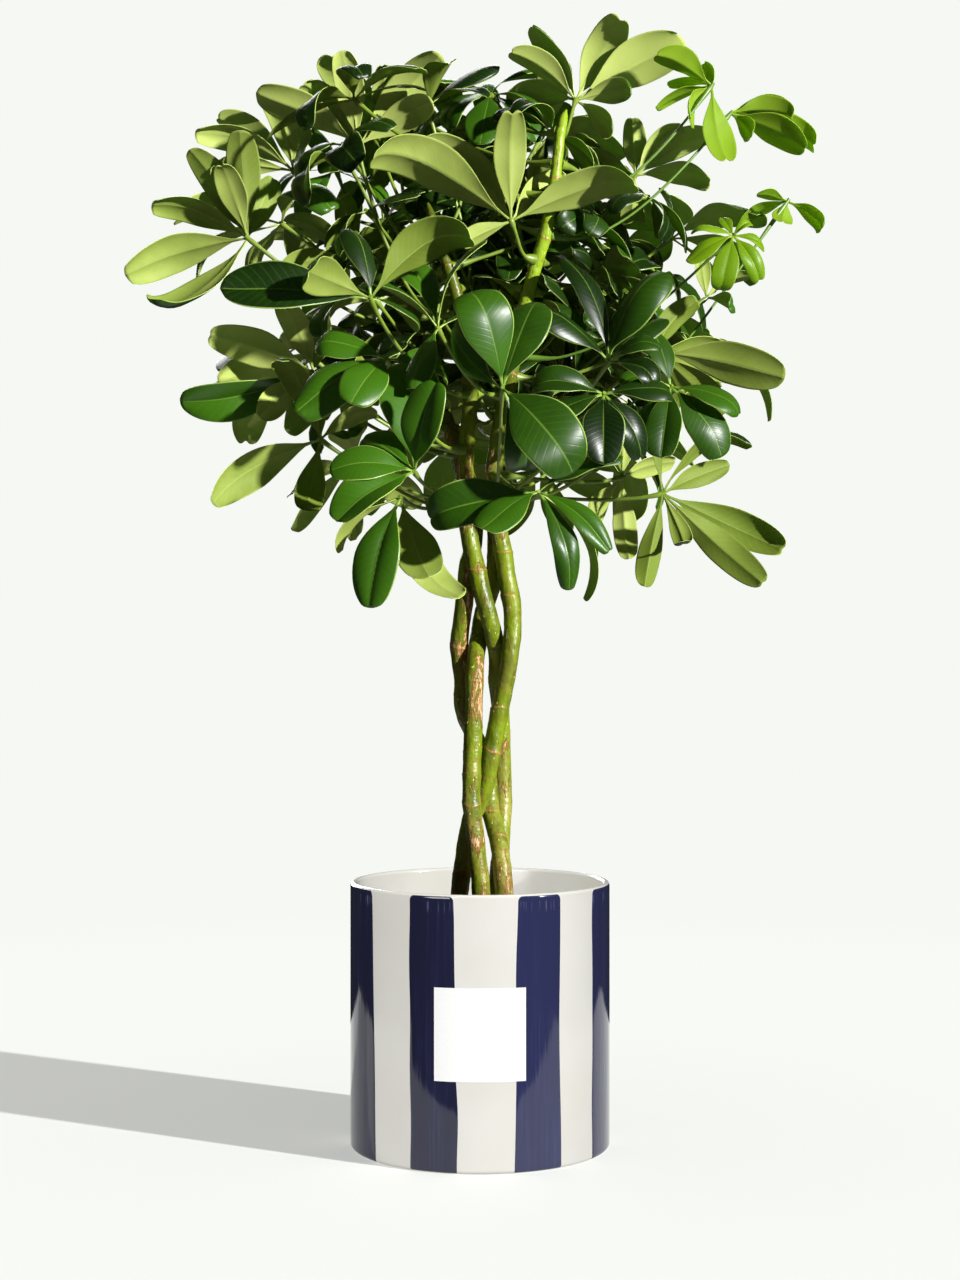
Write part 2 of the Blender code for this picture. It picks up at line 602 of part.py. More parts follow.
def grow(stems):
    """Places every petiole clear of the stems and of each other, and then every leaflet."""
    leaves = planned_leaves()
    solid = [tube_tree(route, [r + PETIOLE_CLEARANCE for r in radii]) for route, radii in stems.values()]
    petioles = []
    for leaf in leaves:
        for _, foot, outward in petiole_feet(leaf, stems)[:40]:
            free = []
            for bulge in (0.0, 0.12, -0.1):
                route = petiole_route(foot, outward, leaf["hub"], leaf["axis"], bulge)
                if petiole_is_clear(route, solid, petioles):
                    free.append(route)
            if free:
                leaf["petiole"] = free[0]
                break
        else:
            raise RuntimeError(f"no way for the petiole of {leaf['name']}")
        petioles.append(petiole_tree(leaf["petiole"]))
    chance = random.Random(5)
    tries = leaflet_tries()
    placed = []
    for index, leaf in enumerate(leaves):
        others = solid + petioles[:index] + petioles[index + 1:] + placed
        leaf["leaflets"] = []
        own = []
        for spoke in leaf["spokes"]:
            traits = {
                "roll": spoke[2] + leaf["sway"] * chance.uniform(-1, 1), "bend": chance.uniform(*ARCH),
                "half": leaf["breadth"] * spoke[3] * chance.uniform(0.92, 1.08),
            }
            for yaw, pitch, scale in tries:
                leaflet = place_leaflet(leaf, spoke, yaw, pitch, scale, traits)
                whole, blade = leaflet_tree(leaflet, 0.05), leaflet_tree(leaflet, 0.25)
                if is_clear(whole, others) and is_clear(blade, own):
                    leaf["leaflets"].append(leaflet)
                    own.append(blade)
                    break
        placed += [leaflet_tree(leaflet, 0.0) for leaflet in leaf["leaflets"]]
    return leaves


def petiole_tree(route):
    radii = [PETIOLE_RADIUS + PETIOLE_CLEARANCE] * (len(route) - 1) + [HUB_RADIUS + PETIOLE_CLEARANCE]
    return tube_tree(route, radii)


def petiole_is_clear(route, stems, petioles):
    return is_clear(petiole_tree(route[2:]), stems) and is_clear(petiole_tree(route), petioles)


def leaflet_tries():
    """Turns and sizes to try for a leaflet, from none at all to the largest."""
    tries = []
    for scale in (1.0, 0.88, 0.76):
        for yaw in (0, 7, -7, 14, -14, 21, -21, 28, -28):
            for pitch in (0, 8, -8, 16, -16, 24, -24):
                tries.append((abs(yaw) + abs(pitch) + (1 - scale) * 130, yaw, pitch, scale))
    tries.sort()
    return [entry[1:] for entry in tries]


# Leaf solids ---------------------------------------------------------------------------------------------

def make_leaf(leaf, group, cutters):
    """One compound leaf in one solid: its petiole, widened at the top, with the leaflets round it."""
    radii = [PETIOLE_RADIUS] * (PETIOLE_STEPS + 2) + [HUB_RADIUS]
    item = add_object(leaf["name"], tube_mesh(leaf["name"], leaf["petiole"], radii, 1), group, "leaf")
    shape = bmesh.new()
    for leaflet in leaf["leaflets"]:
        middle = leaflet["hub"]
        side = leaflet["side"] * STALK_HALF_WIDTH
        rings = [[middle + side, middle - side, middle - leaflet["normal"] * KEEL]]
        for t in LEAFLET_STATIONS:
            point, lift = station(leaflet, t)
            wide = leaflet["side"] * half_width(leaflet, t)
            rings.append([point + wide, point - wide, point - lift * KEEL])
        loft(shape, rings)
    bmesh.ops.recalc_face_normals(shape, faces=shape.faces)
    mesh = bpy.data.meshes.new(f"{leaf['name']}_leaflets")
    shape.to_mesh(mesh)
    shape.free()
    boolean(item, add_cutter(mesh.name, mesh, cutters), "UNION")
    return item


def main():
    clear_scene()
    group = make_collection("potted_umbrella_plant")
    cutters = make_collection("cutters")
    make_cover_pot(group)
    make_label(group)
    make_nursery_pot(group, cutters)
    stems = stem_lines()
    make_soil(group, cutters, stems)
    for name, (route, radii) in stems.items():
        add_object(name, tube_mesh(name, route, radii, 2), group, "green_bark")
    for leaf in grow(stems):
        make_leaf(leaf, group, cutters)


main()
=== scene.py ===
import itertools
import math
import random

import bpy
import numpy as np
from mathutils import Matrix, Quaternion, Vector
from mathutils.bvhtree import BVHTree


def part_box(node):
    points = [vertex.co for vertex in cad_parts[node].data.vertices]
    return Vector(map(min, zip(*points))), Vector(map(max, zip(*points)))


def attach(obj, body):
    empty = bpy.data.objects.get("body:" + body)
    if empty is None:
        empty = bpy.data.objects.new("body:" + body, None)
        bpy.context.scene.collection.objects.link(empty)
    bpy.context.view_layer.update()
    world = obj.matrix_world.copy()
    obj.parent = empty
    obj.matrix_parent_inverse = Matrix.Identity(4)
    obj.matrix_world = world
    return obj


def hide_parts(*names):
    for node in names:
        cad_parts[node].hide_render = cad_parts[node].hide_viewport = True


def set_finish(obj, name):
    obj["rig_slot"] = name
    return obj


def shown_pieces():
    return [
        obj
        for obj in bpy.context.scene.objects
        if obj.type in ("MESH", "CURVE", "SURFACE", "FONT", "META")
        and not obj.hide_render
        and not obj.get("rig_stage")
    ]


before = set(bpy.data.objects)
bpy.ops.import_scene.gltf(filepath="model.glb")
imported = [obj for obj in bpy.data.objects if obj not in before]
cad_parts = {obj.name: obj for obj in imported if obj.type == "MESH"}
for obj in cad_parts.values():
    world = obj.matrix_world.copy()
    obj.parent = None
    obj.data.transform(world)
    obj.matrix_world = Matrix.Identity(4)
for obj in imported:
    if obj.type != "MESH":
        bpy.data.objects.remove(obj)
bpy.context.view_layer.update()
print("frame loaded:", len(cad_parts), "nodes")

mm = 0.001
gap = 0.0003  # between neighbouring solids
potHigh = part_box("cover_pot")[1]
labelLow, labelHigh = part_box("label")
soilLow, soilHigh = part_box("soil")
nurseryLow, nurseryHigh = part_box("nursery_pot")


# Small tools

def deselectAll():
    bpy.ops.object.select_all(action="DESELECT")


def pick(*pieces):
    deselectAll()
    for piece in pieces:
        piece.select_set(True)
    bpy.context.view_layer.objects.active = pieces[0]


def takePrimitive(name):
    # names the primitive that was just added, and its mesh
    piece = bpy.context.object
    piece.name = name
    piece.data.name = name
    return piece


def settle(piece):
    # puts a piece's place into its mesh
    pick(piece)
    bpy.ops.object.transform_apply(location=True, rotation=True, scale=True)


def addModifier(piece, kind, **settings):
    modifier = piece.modifiers.new(kind.title(), kind)
    for name, value in settings.items():
        setattr(modifier, name, value)
    pick(piece)
    bpy.ops.object.modifier_apply(modifier=modifier.name)


def pointsOf(piece):
    flat = np.empty(len(piece.data.vertices) * 3)
    piece.data.vertices.foreach_get("co", flat)
    return flat.reshape(-1, 3)


def movePoints(piece, points):
    piece.data.vertices.foreach_set("co", np.ascontiguousarray(points, dtype=np.float32).ravel())
    piece.data.update()


def copyOf(piece, name):
    # a copy with its own mesh
    twin = bpy.data.objects.new(name, piece.data.copy())
    bpy.context.scene.collection.objects.link(twin)
    return twin


def setValues(piece, name, values):
    # one number for each vertex, which a material can read
    layer = piece.data.attributes.get(name) or piece.data.attributes.new(name, "FLOAT", "POINT")
    spread = np.broadcast_to(values, len(layer.data))
    layer.data.foreach_set("value", np.ascontiguousarray(spread, dtype=np.float32))


def dress(piece, *materials):
    slots = piece.data.materials
    for i, material in enumerate(materials):
        if i < len(slots):
            slots[i] = material
        else:
            slots.append(material)


def join(name, parts):
    pick(*parts)
    bpy.ops.object.join()
    return takePrimitive(name)


def part(piece, slot, *nodes):
    # a finished piece rides on the plant's one body, and stands for its CAD nodes
    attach(piece, "root")
    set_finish(piece, slot)
    if nodes:
        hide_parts(*nodes)
    return piece


# Material tools

def newMaterial(name):
    material = bpy.data.materials.new(name)
    material.use_nodes = True
    tree = material.node_tree
    return material, tree, tree.nodes["Principled BSDF"]


def addNode(tree, kind, inputs=None, **settings):
    node = tree.nodes.new(kind)
    for name, value in settings.items():
        setattr(node, name, value)
    feed(tree, node, inputs or {})
    return node


def feed(tree, node, inputs):
    # fills a node's inputs with numbers, colours or links
    for name, value in inputs.items():
        if isinstance(value, bpy.types.NodeSocket):
            tree.links.new(value, node.inputs[name])
        else:
            node.inputs[name].default_value = value


def calc(tree, operation, a, b=0.0):
    return addNode(tree, "ShaderNodeMath", {0: a, 1: b}, operation=operation).outputs[0]


def between(tree, value, low, high, start=0.0, end=1.0):
    # a smooth step from start to end as the value goes from low to high
    limits = {"Value": value, "From Min": low, "From Max": high, "To Min": start, "To Max": end}
    return addNode(tree, "ShaderNodeMapRange", limits, interpolation_type="SMOOTHSTEP").outputs[0]


def times(tree, a, b):
    return calc(tree, "MULTIPLY", a, b)


def plus(tree, a, b):
    return calc(tree, "ADD", a, b)


def blendColours(tree, share, first, second):
    node = addNode(tree, "ShaderNodeMix", {0: share, 6: first, 7: second}, data_type="RGBA")
    return node.outputs[2]


def layered(tree, colour, *layers):
    # colours laid over one another, each with its share
    for share, over in layers:
        colour = blendColours(tree, share, colour, over)
    return colour


def blendSkins(tree, share, first, second):
    return addNode(tree, "ShaderNodeMixShader", {0: share, 1: first, 2: second}).outputs[0]


def showSkin(material, skin):
    tree = material.node_tree
    tree.links.new(skin, tree.nodes["Material Output"].inputs["Surface"])


def objectPlace(tree, along=1):
    # a number below 1 stretches the pattern upwards
    place = addNode(tree, "ShaderNodeTexCoord").outputs["Object"]
    return addNode(tree, "ShaderNodeMapping", {"Vector": place, "Scale": (1, 1, along)}).outputs[0]


def axesOf(tree, place):
    # its x, y and z
    return addNode(tree, "ShaderNodeSeparateXYZ", {0: place}).outputs


def noise(tree, scale, detail=3.0, roughness=0.55, along=1):
    values = {"Vector": objectPlace(tree, along), "Scale": scale, "Detail": detail, "Roughness": roughness}
    return addNode(tree, "ShaderNodeTexNoise", values).outputs[0]


def valueOf(tree, name):
    return addNode(tree, "ShaderNodeAttribute", attribute_name=name).outputs["Fac"]


def bump(tree, shader, height, strength, distance):
    node = addNode(tree, "ShaderNodeBump", {"Height": height, "Strength": strength, "Distance": distance})
    tree.links.new(node.outputs[0], shader.inputs["Normal"])


def grainyMaterial(name, look, first, second):
    # one noise, or what of it lies between the look's limits, mixes two colours, and gives the relief
    material, tree, shader = newMaterial(name)
    pattern = noise(tree, *look["grain"])
    share = between(tree, pattern, *look["limits"]) if "limits" in look else pattern
    colour = blendColours(tree, share, first, second)
    feed(tree, shader, {"Base Color": colour, "Roughness": look["roughness"]})
    bump(tree, shader, pattern, *look["relief"])
    return material


def rgb(red, green, blue):
    # a colour given as a screen shows it, from 0 to 255
    def linear(value):
        share = value / 255
        return share / 12.92 if share <= 0.04045 else ((share + 0.055) / 1.055) ** 2.4
    return (linear(red), linear(green), linear(blue), 1.0)


# Glazed pot with painted stripes

potLook = {
    "sides": 160, "wall": 0.0045, "floor": 0.007, "edge": 0.003,
    "cream": rgb(229, 227, 220), "creamShade": rgb(224, 221, 213),
}
stripeLook = {
    # where each stripe starts and ends at its top, and at its foot, in degrees round the pot from the front
    "spans": [
        (-88, -53.8, -88, -50.6), (-31.4, -11, -31, -9.2), (15.9, 36.2, 14.6, 36.9), (57.5, 87, 57, 87),
        (107, 129, 108, 129), (150, 172, 150, 173), (193, 214, 192, 214), (234, 252, 234, 253),
    ],
    # how thinly each stripe was painted
    "thinness": [0.1, 0.12, 0.75, 0.55, 0.2, 0.5, 0.3, 0.2],
    "relief": 0.00028, "sunk": 0.00015, "soft": 0.0012, "corner": 0.0035, "top": 0.0012, "bottom": 0.0008,
    "wander": 0.35, "columns": 16, "rows": 64,
    "navy": rgb(28, 29, 50), "thin": rgb(56, 60, 104), "lipHighlight": rgb(140, 142, 178), "roughness": 0.06,
    "thickness": 0.0004, "waves": 4, "wavePitch": (12, 90), "waveStrength": (0.3, 0.6),
    # how far below the rim the painted highlight, a pale line along the rim, fades in, and out
    "lipHighlightIn": (0.014, 0.008), "lipHighlightOut": (0.004, 0.006),
}


def makeCreamGlaze():
    material, tree, shader = newMaterial("creamGlaze")
    cloud = noise(tree, 11)
    colour = blendColours(tree, between(tree, cloud, 0.35, 0.7), potLook["cream"], potLook["creamShade"])
    gloss = between(tree, noise(tree, 30, 2), 0.3, 0.7, 0.16, 0.27)
    feed(tree, shader, {"Base Color": colour, "Roughness": gloss, "Coat Weight": 0.3, "Coat Roughness": 0.08})
    bump(tree, shader, noise(tree, 55, 2, along=0.5), 0.25, 0.0006)
    return material


def makeNavyGlaze():
    # brushed on: darker where it pooled, with fine streaks along the brush, and a painted highlight as a pale
    # line below the rim
    material, tree, shader = newMaterial("navyGlaze")
    depth = calc(tree, "SUBTRACT", potHigh.z, axesOf(tree, objectPlace(tree))[2])
    streak = noise(tree, 420, along=0.03)
    band = noise(tree, 70, 2, along=0.12)
    thin = times(tree, between(tree, streak, 0.4, 0.75), between(tree, band, 0.35, 0.7))
    thin = plus(tree, times(tree, thin, 0.4), times(tree, valueOf(tree, "thinness"), 0.75))
    # painted highlight: a pale, broken line a little below the rim
    lipHighlight = times(tree, between(tree, depth, *stripeLook["lipHighlightIn"]), between(tree, streak, 0.56, 0.7))
    lipHighlight = times(tree, lipHighlight, between(tree, depth, *stripeLook["lipHighlightOut"]))
    colour = layered(
        tree, stripeLook["navy"], (thin, stripeLook["thin"]), (times(tree, lipHighlight, 0.35), stripeLook["lipHighlight"]))
    feed(tree, shader, {"Base Color": colour, "Roughness": stripeLook["roughness"], "Coat Weight": 0.2})
    wavy = noise(tree, 130, 2, along=0.2)
    bump(tree, shader, plus(tree, plus(tree, streak, band), wavy), 0.5, 0.00025)
    return material


def arcOf(centreRadius, centreHeight, radius, start, end, steps):
    # points (radius, height) of an arc in a turned outline, in degrees from outwards to upwards
    angles = [math.radians(start + (end - start) * i / steps) for i in range(steps + 1)]
    return [(centreRadius + radius * math.cos(a), centreHeight + radius * math.sin(a)) for a in angles]


def turnFromDisc(name, outline, sides):
    # a disc extruded and scaled along the outline, up the outside and down the inside
    radius, height = outline[0]
    deselectAll()
    bpy.ops.mesh.primitive_circle_add(
        vertices=sides, radius=radius, fill_type="NGON", location=(0, 0, height))
    piece = takePrimitive(name)
    bpy.ops.object.mode_set(mode="EDIT")
    for (lastRadius, lastHeight), (radius, height) in zip(outline, outline[1:]):
        bpy.ops.mesh.extrude_region_move(TRANSFORM_OT_translate={"value": (0, 0, height - lastHeight)})
        bpy.ops.transform.resize(value=(radius / lastRadius, radius / lastRadius, 1))
    bpy.ops.mesh.select_all(action="SELECT")
    bpy.ops.mesh.normals_make_consistent(inside=False)
    bpy.ops.object.mode_set(mode="OBJECT")
    settle(piece)
    bpy.ops.object.shade_smooth_by_angle(angle=math.radians(40))
    return piece


def makePot(cream):
    radius, height = potHigh.x, potHigh.z
    wall, edge = potLook["wall"], potLook["edge"]
    inside = radius - wall
    outline = arcOf(radius - edge, edge, edge, -90, 0, 6)
    outline += arcOf(radius - wall / 2, height - wall / 2, wall / 2, 0, 180, 12)
    outline += arcOf(inside - 2 * edge, potLook["floor"] + 2 * edge, 2 * edge, 0, -90, 6)
    pot = turnFromDisc("coverPot", outline, potLook["sides"])
    dress(pot, cream)
    return part(pot, "glaze", "cover_pot")


def wander(heights, seed):
    # how far a hand-painted edge strays along the pot, between about -1 and 1
    chance = random.Random(seed)
    total = 0
    for _ in range(stripeLook["waves"]):
        pitch, phase = chance.uniform(*stripeLook["wavePitch"]), chance.uniform(0, math.tau)
        total = total + chance.uniform(*stripeLook["waveStrength"]) * np.sin(heights * pitch + phase)
    return total


def makeStripe(number, span, navy):
    look = stripeLook
    radius = potHigh.x
    deselectAll()
    bpy.ops.mesh.primitive_grid_add(x_subdivisions=look["columns"], y_subdivisions=look["rows"], size=2)
    stripe = takePrimitive(f"stripe_{number}")
    points = pointsOf(stripe)
    across = np.sin(points[:, 0] * math.pi / 2)  # closer together near the edges
    up = np.sin(points[:, 1] * math.pi / 2)
    bottom, top = look["bottom"], potHigh.z - look["top"]
    height = bottom + (top - bottom) * (up + 1) / 2
    lower = 1 - height / top
    left = span[0] + (span[2] - span[0]) * lower + look["wander"] * wander(height, 2 * number)
    right = span[1] + (span[3] - span[1]) * lower + look["wander"] * wander(height, 2 * number + 1)
    fromTop = np.minimum(top - height, look["corner"])
    inset = look["corner"] - np.sqrt(np.maximum(look["corner"] ** 2 - (look["corner"] - fromTop) ** 2, 0))
    half = np.radians(right - left) / 2 - inset / radius
    angle = np.radians(right + left) / 2 + half * across
    toEdge = np.minimum(half * (1 - np.abs(across)) * radius, np.minimum(top - height, height))
    swell = np.sin(np.clip(toEdge / look["soft"], 0, 1) * math.pi / 2) ** 0.7
    low = np.clip(potLook["edge"] - height, 0, potLook["edge"])
    foot = potLook["edge"] - np.sqrt(potLook["edge"] ** 2 - low ** 2)
    out = radius - foot - look["sunk"] + (look["relief"] + look["sunk"]) * swell
    movePoints(stripe, np.stack([out * np.sin(angle), -out * np.cos(angle), height], axis=1))
    addModifier(stripe, "SOLIDIFY", thickness=look["thickness"], offset=-1)
    stripe.data.shade_smooth()
    setValues(stripe, "thinness", look["thinness"][number - 1])
    dress(stripe, navy)
    return part(stripe, "glaze")


cream = makeCreamGlaze()
navy = makeNavyGlaze()
makePot(cream)
for number, span in enumerate(stripeLook["spans"]):
    makeStripe(number + 1, span, navy)
print("pot and stripes made")


# Paper label, left bare

labelLook = {
    "thickness": 0.00025, "steps": 20, "white": rgb(250, 250, 249), "fibre": rgb(243, 243, 241),
    "grain": (900, 4, 0.7), "limits": (0.45, 0.75), "roughness": 0.62, "relief": (0.15, 0.0001),
}


def makeLabel():
    look = labelLook
    side = labelHigh.z - labelLow.z
    middle = (labelHigh.z + labelLow.z) / 2
    inner = potHigh.x + 1.3 * gap
    deselectAll()
    steps = look["steps"]
    bpy.ops.mesh.primitive_grid_add(x_subdivisions=steps, y_subdivisions=steps, size=side)
    label = takePrimitive("paperLabel")
    points = pointsOf(label)
    angle, height = points[:, 0] / inner, points[:, 1] + middle
    outer = inner + look["thickness"]
    movePoints(label, np.stack([outer * np.sin(angle), -outer * np.cos(angle), height], axis=1))
    addModifier(label, "SOLIDIFY", thickness=look["thickness"], offset=-1)
    label.data.shade_smooth()
    pick(label)
    bpy.ops.object.shade_smooth_by_angle(angle=math.radians(35))
    dress(label, grainyMaterial("labelPaper", look, look["white"], look["fibre"]))
    return part(label, "paper", "label")


makeLabel()
print("label made")


# Nursery pot and its soil

nurseryLook = {
    "wall": 0.0014, "band": 0.012, "step": 0.003, "sides": 96, "foot": 0.066,
    "drains": 6, "drainRadius": 0.006, "drainRing": 0.042,
    "plastic": rgb(28, 28, 29), "scuffed": rgb(42, 42, 43),
    "grain": (600,), "limits": (0.4, 0.7), "roughness": 0.45, "relief": (0.2, 0.0001),
}
soilLook = {
    "sides": 72, "rings": 16, "mound": 0.005, "lumps": 0.00064, "lumpScale": 420, "seed": 3,
    "soilGrain": 260, "limits": (0.35, 0.7), "roughness": 0.95, "relief": (0.6, 0.0006),
    "bareEdge": 0.004, "bitScale": 2.2, "bitLumps": 0.22, "chipTilt": 0.5,
    "dark": rgb(40, 28, 20), "brown": rgb(84, 60, 42), "bark": rgb(120, 78, 48), "pale": rgb(226, 222, 212),
    "white": rgb(244, 242, 236),
}
# what is strewn over it: how many, smallest and largest, shape, material, its two colours and its grain
strewnLook = {
    "crumb": (420, (0.0011, 0.0028), (1, 0.85, 0.7), "crumbs", "dark", "brown", 500),
    "chip": (130, (0.002, 0.0055), (1, 0.5, 0.22), "barkChips", "brown", "bark", 400),
    "perlite": (60, (0.0012, 0.0022), (1, 0.9, 0.8), "perlite", "pale", "white", 700),
}


def makeNurseryPot():
    look = nurseryLook
    base, top = nurseryLow.z, nurseryHigh.z
    rim, wall, foot = nurseryHigh.x, look["wall"], look["foot"]
    band = top - look["band"]
    neck = rim - look["step"]
    outline = [(foot, base), (foot + 0.001, base + 0.001), (neck, band - 0.001), (rim, band)]
    outline += arcOf(rim - wall / 2, top - wall / 2, wall / 2, 0, 180, 6)
    outline += [(rim - wall, band + 0.002), (neck - wall, band), (foot - wall, base + wall)]
    pot = turnFromDisc("nurseryPot", outline, look["sides"])
    ring = look["drainRing"]
    cutters = []
    for i in range(look["drains"]):
        angle = math.tau * (i + 0.5) / look["drains"]
        deselectAll()
        bpy.ops.mesh.primitive_cylinder_add(
            vertices=24, radius=look["drainRadius"], depth=wall * 4,
            location=(ring * math.cos(angle), ring * math.sin(angle), base))
        cutters.append(takePrimitive(f"drain_{i}"))
    holes = join("drains", cutters)
    settle(holes)
    addModifier(pot, "BOOLEAN", operation="DIFFERENCE", solver="EXACT", object=holes)
    bpy.data.objects.remove(holes, do_unlink=True)
    dress(pot, grainyMaterial("blackPlastic", look, look["plastic"], look["scuffed"]))
    return part(pot, "black_plastic", "nursery_pot")


def makeEarth(name, dark, light, scale):
    look = {**soilLook, "grain": (scale, 4, 0.7)}
    return grainyMaterial(name, look, look[dark], look[light])


def roughen(points, scale, strength, shift=0):
    # pushes points about by smooth noise
    moved = points.copy()
    for axis in range(3):
        waves = random.Random(31 + axis + shift)
        for _ in range(5):
            way = np.array([waves.gauss(0, 1) for _ in range(3)]) * scale
            moved[:, axis] += strength * np.sin(points @ way + waves.uniform(0, math.tau)) / 2.2
    return moved


def soilHeight(distance, reach):
    top = soilHigh.z - soilLook["mound"]
    return top + soilLook["mound"] * math.cos(math.pi / 2 * min(1.0, distance / reach)) ** 2


def makeSoilBody(reach):
    rings, edge = soilLook["rings"], reach - 0.001
    outline = [(nurseryLook["foot"] - 0.003, soilLow.z), (reach - 0.0005, soilHeight(reach, reach) - 0.002)]
    distances = [edge * (1 - i / rings) for i in range(rings)]
    outline += [(distance, soilHeight(distance, reach)) for distance in distances]
    soil = turnFromDisc("pottingSoil", outline, soilLook["sides"])
    points = pointsOf(soil)
    upper = points[:, 2] > soilHigh.z - soilLook["mound"] - 0.0015
    points[upper] = roughen(points[upper], soilLook["lumpScale"], soilLook["lumps"])
    outer = np.hypot(points[:, 0], points[:, 1]) > reach
    points[outer, :2] *= (reach / np.hypot(points[outer, 0], points[outer, 1]))[:, None]
    movePoints(soil, points)
    dress(soil, makeEarth("soil", "dark", "brown", soilLook["soilGrain"]))
    part(soil, "soil", "soil")


def strewSoil(reach):
    # crumbs, bark chips and perlite, each turned its own way; chips lie nearly flat
    look = soilLook
    chance = random.Random(look["seed"])
    for name, (count, sizes, shape, *earth) in strewnLook.items():
        deselectAll()
        bpy.ops.mesh.primitive_ico_sphere_add(subdivisions=1 if name == "crumb" else 2, radius=1)
        master = takePrimitive(name)
        master.data.shade_smooth()
        lumps = pointsOf(master)
        bits = []
        for i in range(count):
            size = chance.uniform(*sizes)
            distance = (reach - look["bareEdge"]) * math.sqrt(chance.random())
            angle = chance.uniform(0, math.tau)
            turn = Quaternion([chance.gauss(0, 1) for _ in range(4)]).normalized().to_matrix()
            if name == "chip":
                heading = chance.uniform(0, math.tau)
                tilt = chance.uniform(-look["chipTilt"], look["chipTilt"])
                turn = Matrix.Rotation(heading, 3, "Z") @ Matrix.Rotation(tilt, 3, "X")
            place = (distance * math.cos(angle), distance * math.sin(angle), soilHeight(distance, reach))
            bit = copyOf(master, f"{name}_{i}")
            lumpy = roughen(lumps, look["bitScale"], look["bitLumps"], i) * np.array(shape) * size
            movePoints(bit, lumpy @ np.array(turn).T + np.array(place))
            bits.append(bit)
        bpy.data.objects.remove(master, do_unlink=True)
        strewn = join(f"soil_{name}s", bits)
        dress(strewn, makeEarth(*earth))
        part(strewn, "soil")


makeNurseryPot()
makeSoilBody(soilHigh.x)
strewSoil(soilHigh.x)
print("nursery pot and soil made")


# Stems: four braided shoots, thinner towards their tips. Routes are in millimetres.

stemRoutes = {
    "stem_1": [(-20, 3, 122), (-19, 4, 150), (-15, 5, 185), (-10, 6, 223), (-5, 4, 243), (3, 0, 260),
        (7, -4, 280), (11, -5, 302), (15, -6, 322), (19, -9, 342), (22, -14, 361), (24, -12, 380),
        (23, -5, 400), (20, -3, 416), (17, -3, 436), (13, -5, 455), (9, -7, 475), (12, -12, 511),
        (19, -20, 548), (28, -30, 592), (35, -38, 622), (41, -42, 643), (47, -45, 662), (52, -46, 688),
        (55, -46, 712), (58, -44, 736), (62, -38, 752)],
    "stem_2": [(4, -9, 122), (3, -9, 150), (1, -9, 185), (-3, -10, 223), (-6, -11, 250), (-6, -10, 272),
        (-5, -9, 306), (-4, -10, 342), (-3, -3, 360), (-1, 5, 372), (1, 10, 384), (5, 12, 400),
        (10, 12, 416), (12, 12, 436), (12, 11, 455), (11, 11, 475), (16, 24, 510), (24, 42, 550),
        (34, 58, 590), (44, 70, 630), (50, 80, 670), (54, 86, 705)],
    "stem_3": [(22, -7, 122), (20, -7, 150), (18, -6, 185), (16, -4, 207), (13, 4, 226), (8, 12, 243),
        (7, 17, 257), (5, 18, 272), (1, 15, 289), (-7, 10, 306), (-12, 6, 320), (-13, 5, 342),
        (-15, 6, 361), (-15, 3, 374), (-13, -1, 388), (-11, -1, 404), (-9, 4, 425), (-5, 7, 442),
        (-5, 9, 475), (-16, 22, 510), (-30, 36, 550), (-44, 46, 590), (-56, 52, 630), (-66, 58, 670),
        (-72, 60, 705)],
    "stem_4": [(13, 9, 122), (13, 10, 150), (13, 11, 185), (15, 15, 207), (16, 20, 226), (17, 25, 243),
        (17, 27, 260), (16, 25, 296), (15, 19, 322), (13, 10, 340), (13, 0, 359), (10, -8, 375),
        (6, -11, 390), (2, -12, 404), (-3, -11, 425), (-7, -8, 442), (-11, -7, 475), (-10, -12, 510),
        (-7, -18, 550), (-10, -24, 590), (-18, -28, 625), (-28, -28, 655), (-38, -24, 688)],
}
stemSize = {
    "radius": 0.0068, "tipRadius": 0.0036, "spacing": 0.018, "shootsStart": 0.46,
    "rounding": (0.95, 0.75, 0.3),
}
